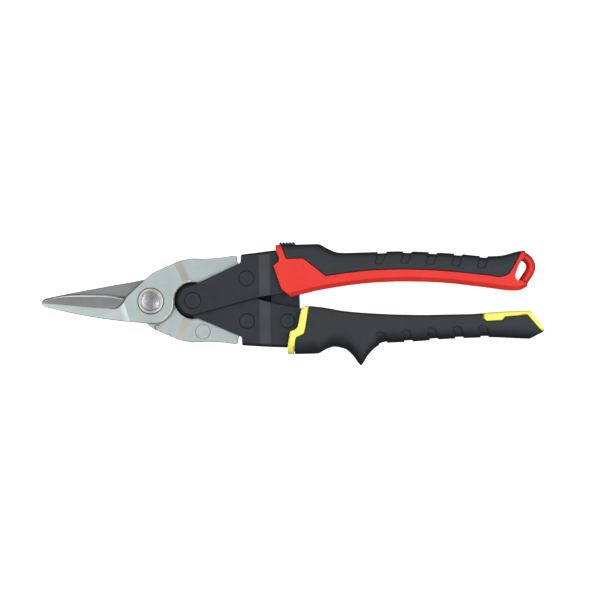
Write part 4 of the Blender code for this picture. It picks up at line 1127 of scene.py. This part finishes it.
LOWER_SLEEVE_REGION = rounded([
    (78.6, 6), (78.4, -3.8), (76.1, -5.2), (75.5, -6.7), (74.5, -11.7), (73.9, -14.3), (72.6, -15.5),
    (70.3, -16.3), (69.8, -17.7), (68.9, -23.3), (68.7, -27.3), (69.4, -28.6), (69.4, -45), (190.4, -45),
    (190.4, -22.3), (197.6, -18.6), (198.4, -17.5), (191.9, -8.4), (191, 6)], 0.8)

LOWER_COVER_REGION = rounded([
    (80.3, 6), (80.1, -4), (79.8, -5.8), (78.5, -13.6), (77.4, -17.6), (76.1, -18.4), (73.5, -19.5),
    (72.9, -21.3), (72.4, -27.7), (72.4, -45), (200, -45), (200, -19.6), (197.8, -18.6), (196.2, -17.9),
    (189.8, -10.1), (178.7, -10.8), (177.3, -12.6), (169.1, -12.9), (167.1, -11.1), (167.2, 6)], 0.6)


def grip_blank(name, grip, region):
    """The whole grip, sleeve and cover together, inside its side outline."""
    return kept_inside(grip_solid(name, grip, 0), slab("region", region, 20))


def skin(grip, region, depth):
    """The space of a cover that reaches a depth below the surface within a side outline."""
    return cut_away(slab("cover space", region, 20), grip_solid("core", grip, depth))


def top_strip(half_width):
    """The stretch of the lower grip's inner edge where the cover leaves the sleeve bare."""
    return block(60, -14, 210, 4, half_width)


def pocket(outline, half_width):
    """The room for the handle's channel in a sleeve."""
    return slab("pocket", grown(outline, GAP), half_width + GAP)


def grooves(grip, edge, inward, lean, radius):
    """Shallow slanting grooves across both faces, wrapping over the outer edge of the grip.

    edge gives that outer edge, inward is the side of it where the grip lies, lean is how far a
    groove's outer end stands ahead of its middle, and radius rounds its inner end.
    """
    half = 0.5 * GROOVE_WIDTH
    outlines = []
    for k in range(GROOVE_COUNT):
        x = GROOVE_START + GROOVE_PITCH * k
        outer = edge(x) - 2 * inward
        inner = edge(x) + GROOVE_REACH * inward
        outlines.append(rounded([(x + lean - half, outer), (x + lean + half, outer), (x - lean + half, inner),
                                 (x - lean - half, inner)], radius, 8))
    return cut_away(prisms("grooves", outlines, -15, 15), grip_solid("groove floor", grip, GROOVE_DEPTH))


def pad_slot():
    """The opening in the upper grip's outer edge where the thumb pad moves."""
    return block(60, 24, 77, 40, PAD_HALF_WIDTH + 0.4)


def loop_bar():
    """The lanyard loop's rounded bar, from inside the top corner to inside the lower nose."""
    route = [(187.2, 20.2), (189.9, 18.9), (191.6, 17.1), (192.4, 14.8), (192, 12.4), (190.3, 9.6),
             (188.4, 6.6), (187.6, 4.6)]
    path = [(x, y, 0) for x, y in smooth_path(route, 0.5)]
    return swept("loop bar", path, 4.7, 12, 28)


def make_upper_sleeve():
    piece = joined(grip_blank("upper_grip_sleeve", UPPER_GRIP, UPPER_SLEEVE_REGION), loop_bar())
    cut_away(piece, skin(UPPER_GRIP, grown(UPPER_COVER_REGION, GAP), CORE_INSET),
             pocket(upper_channel_outline(), UPPER_OUTER + CHANNEL_JOGGLE),
             block(55, -6, 78, 8, SLOT_HALF_WIDTH), pad_slot())
    return eased(piece, 0.3, flat=False)


def cover(name, grip, sleeve_region, region):
    return kept_inside(grip_blank(name, grip, sleeve_region), skin(grip, region, COVER_THICKNESS))


def make_upper_cover():
    piece = cover("upper_grip_cover", UPPER_GRIP, UPPER_SLEEVE_REGION, UPPER_COVER_REGION)
    cut_away(piece, pad_slot(), grooves(UPPER_GRIP, UPPER_GRIP.top, -1, 1.4, 1.2))
    return eased(piece, 0.2, flat=False)


def make_lower_sleeve():
    piece = grip_blank("lower_grip_sleeve", LOWER_GRIP, LOWER_SLEEVE_REGION)
    cover_room = skin(LOWER_GRIP, grown(LOWER_COVER_REGION, GAP), CORE_INSET)
    cut_away(piece, cut_away(cover_room, top_strip(TOP_STRIP_HALF_WIDTH)),
             pocket(lower_channel_outline(), LOWER_OUTER + CHANNEL_JOGGLE),
             block(60, -12, 81, 4, SLOT_HALF_WIDTH))
    return eased(piece, 0.35, flat=False)


def make_lower_cover():
    piece = cover("lower_grip_cover", LOWER_GRIP, LOWER_SLEEVE_REGION, LOWER_COVER_REGION)
    cut_away(piece, top_strip(TOP_STRIP_HALF_WIDTH + GAP),
             grooves(LOWER_GRIP, LOWER_GRIP.bottom, 1, 1.2, 2.4))
    return eased(piece, 0.2, flat=False)


# --- assembly ---
def build_snips():
    """Makes each piece and hands it to its body, with a slot named after its paint."""
    steels = (blade_steel(), ground_steel(), edge_steel(), lit_step_steel())
    # copies of the black steel: a lighter one paints the bend bands' highlight, a near-black one paints the
    # noses' shade
    blacks = (black_steel(), black_steel("lit_band_black_steel", 0.34, 1.5),
              black_steel("shade_black_steel", 0.08, 0.2))
    paints = {"blade_steel": steels[0], "black_handle_steel": blacks[0]}
    for make in (polished_steel, zinc_plate, spring_steel, nylon, red_plastic, yellow_plastic,
                 black_overmould):
        paints[make.__name__] = make()

    def put(body, slot, *pieces):
        for piece in pieces:
            place(piece, body, paints[slot])

    put("lower_handle", "black_handle_steel", make_lower_channel(blacks))
    put("lower_handle", "yellow_plastic", make_lower_sleeve())
    put("lower_handle", "black_overmould", make_lower_cover())
    put("lower_handle", "black_handle_steel", rivet("lower_blade_rivet"), rivet("latch_catch_pin"),
        rivet("handle_pivot_rivet"))
    put("lower_handle", "zinc_plate", make_handle_bush())
    spring = place(make_return_spring(), None, paints["spring_steel"])
    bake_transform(spring)

    put("upper_handle", "black_handle_steel", make_upper_channel(blacks))
    put("upper_handle", "red_plastic", make_upper_sleeve())
    put("upper_handle", "black_overmould", make_upper_cover())
    put("upper_handle", "black_handle_steel", rivet("upper_blade_rivet"))
    put("upper_handle", "zinc_plate", tang_washer("upper_tang_washer_front", 1),
        tang_washer("upper_tang_washer_rear", -1), make_latch_pin())
    put("upper_handle", "nylon", latch_spacer("latch_spacer_front", 2.4, 5.5),
        latch_spacer("latch_spacer_rear", -5.5, -1.55))
    put("upper_handle", "spring_steel", latch_spacer("latch_friction_washer", 1.55, 2.1))

    put("latch", "black_handle_steel", make_latch_lever(blacks[0], blacks[2]))
    put("latch", "black_overmould", make_latch_pad())

    put("lower_blade", "blade_steel", make_lower_blade(steels), make_blade_stop_pin())
    put("lower_blade", "polished_steel", make_pivot_bolt())
    put("lower_blade", "zinc_plate", make_pivot_washer(), make_pivot_nut())
    put("lower_blade", "nylon", make_nut_insert())

    put("upper_blade", "blade_steel", make_upper_blade(steels))


# --- studio ---
def softbox(name, location, width, height, radiance, colour):
    """A soft rectangular light that faces the middle of the floor."""
    lamp = bpy.data.lights.new(name, "AREA")
    lamp.shape = "RECTANGLE"
    lamp.size = width
    lamp.size_y = height
    lamp.energy = radiance * math.pi * width * height
    lamp.color = colour
    light = bpy.data.objects.new(name, lamp)
    light.location = location
    back = Vector(location).normalized()
    right = Vector((0, 1, 0)).cross(back).normalized()
    light.rotation_euler = Matrix((right, back.cross(right), back)).transposed().to_euler()
    light.visible_camera = False
    bpy.context.scene.collection.objects.link(light)


def make_floor():
    floor = loft("floor", [[(-6, -6, z), (6, -6, z), (6, 6, z), (-6, 6, z)] for z in (-0.02, 0)])
    paint = Paint("floor", specular=0.1)
    base = paint.mixed(paint.noise(40, 3), (0.56, 0.56, 0.56), (0.6, 0.6, 0.6))
    paint.shader.inputs["Emission Color"].default_value = (1, 1, 1, 1)
    paint.shader.inputs["Emission Strength"].default_value = 0.85
    floor.data.materials.append(paint.finish(base, 0.9, paint.relief(paint.noise(0.6, 2), 0.004)))
    floor.visible_diffuse = False
    floor.visible_glossy = False


def make_lights():
    """Two long panels beside the camera, a small key, and low panels for the edges."""
    softbox("left panel", (-0.76, 0.15, 1.5), 0.5, 2.6, 3.8, (1, 0.985, 0.95))
    softbox("right panel", (0.80, -0.1, 1.5), 0.6, 2.4, 3.4, (1, 1, 1))
    softbox("key", (0.40, -0.26, 1.9), 0.28, 0.28, 8, (1, 0.985, 0.95))
    softbox("side", (1.25, 0.55, 1.05), 0.8, 1, 1.2, (1, 0.98, 0.95))
    softbox("low right", (1.6, -1.1, 0.75), 0.7, 0.7, 5.5, (1, 0.98, 0.94))
    softbox("low left", (-1.9, 0.3, 0.7), 0.7, 0.7, 3.5, (1, 0.98, 0.94))
    softbox("low back", (-0.2, 1.9, 1), 2, 0.6, 2.6, (1, 0.98, 0.95))


def make_room():
    """A dim room, darker towards the horizon."""
    world = bpy.data.worlds.new("studio")
    world.use_nodes = True
    nodes, links = world.node_tree.nodes, world.node_tree.links
    background = nodes["Background"]
    background.inputs["Color"].default_value = (0.97, 0.98, 1, 1)
    direction = nodes.new("ShaderNodeTexCoord")
    parts = nodes.new("ShaderNodeSeparateXYZ")
    level = nodes.new("ShaderNodeMapRange")
    for name, value in (("From Min", 0.1), ("From Max", 0.8), ("To Min", 0.09), ("To Max", 0.5)):
        level.inputs[name].default_value = value
    links.new(direction.outputs["Generated"], parts.inputs[0])
    links.new(parts.outputs["Z"], level.inputs["Value"])
    links.new(level.outputs["Result"], background.inputs["Strength"])
    bpy.context.scene.world = world


def make_camera():
    lens = bpy.data.cameras.new("camera")
    lens.sensor_width = SENSOR
    lens.clip_end = 20
    aim = ORIGIN + Vector((*CAMERA_TARGET, 0)) * MILLIMETRE
    lens.lens = SENSOR * CAMERA_HEIGHT / VIEW_WIDTH
    camera = bpy.data.objects.new("camera", lens)
    camera.location = aim + Vector((0, 0, CAMERA_HEIGHT))
    camera.rotation_euler = (0, 0, CAMERA_ROLL)
    bpy.context.scene.collection.objects.link(camera)
    bpy.context.scene.camera = camera


make_camera()
build_snips()
make_floor()
make_lights()
make_room()
bpy.context.scene.view_settings.view_transform = "Standard"
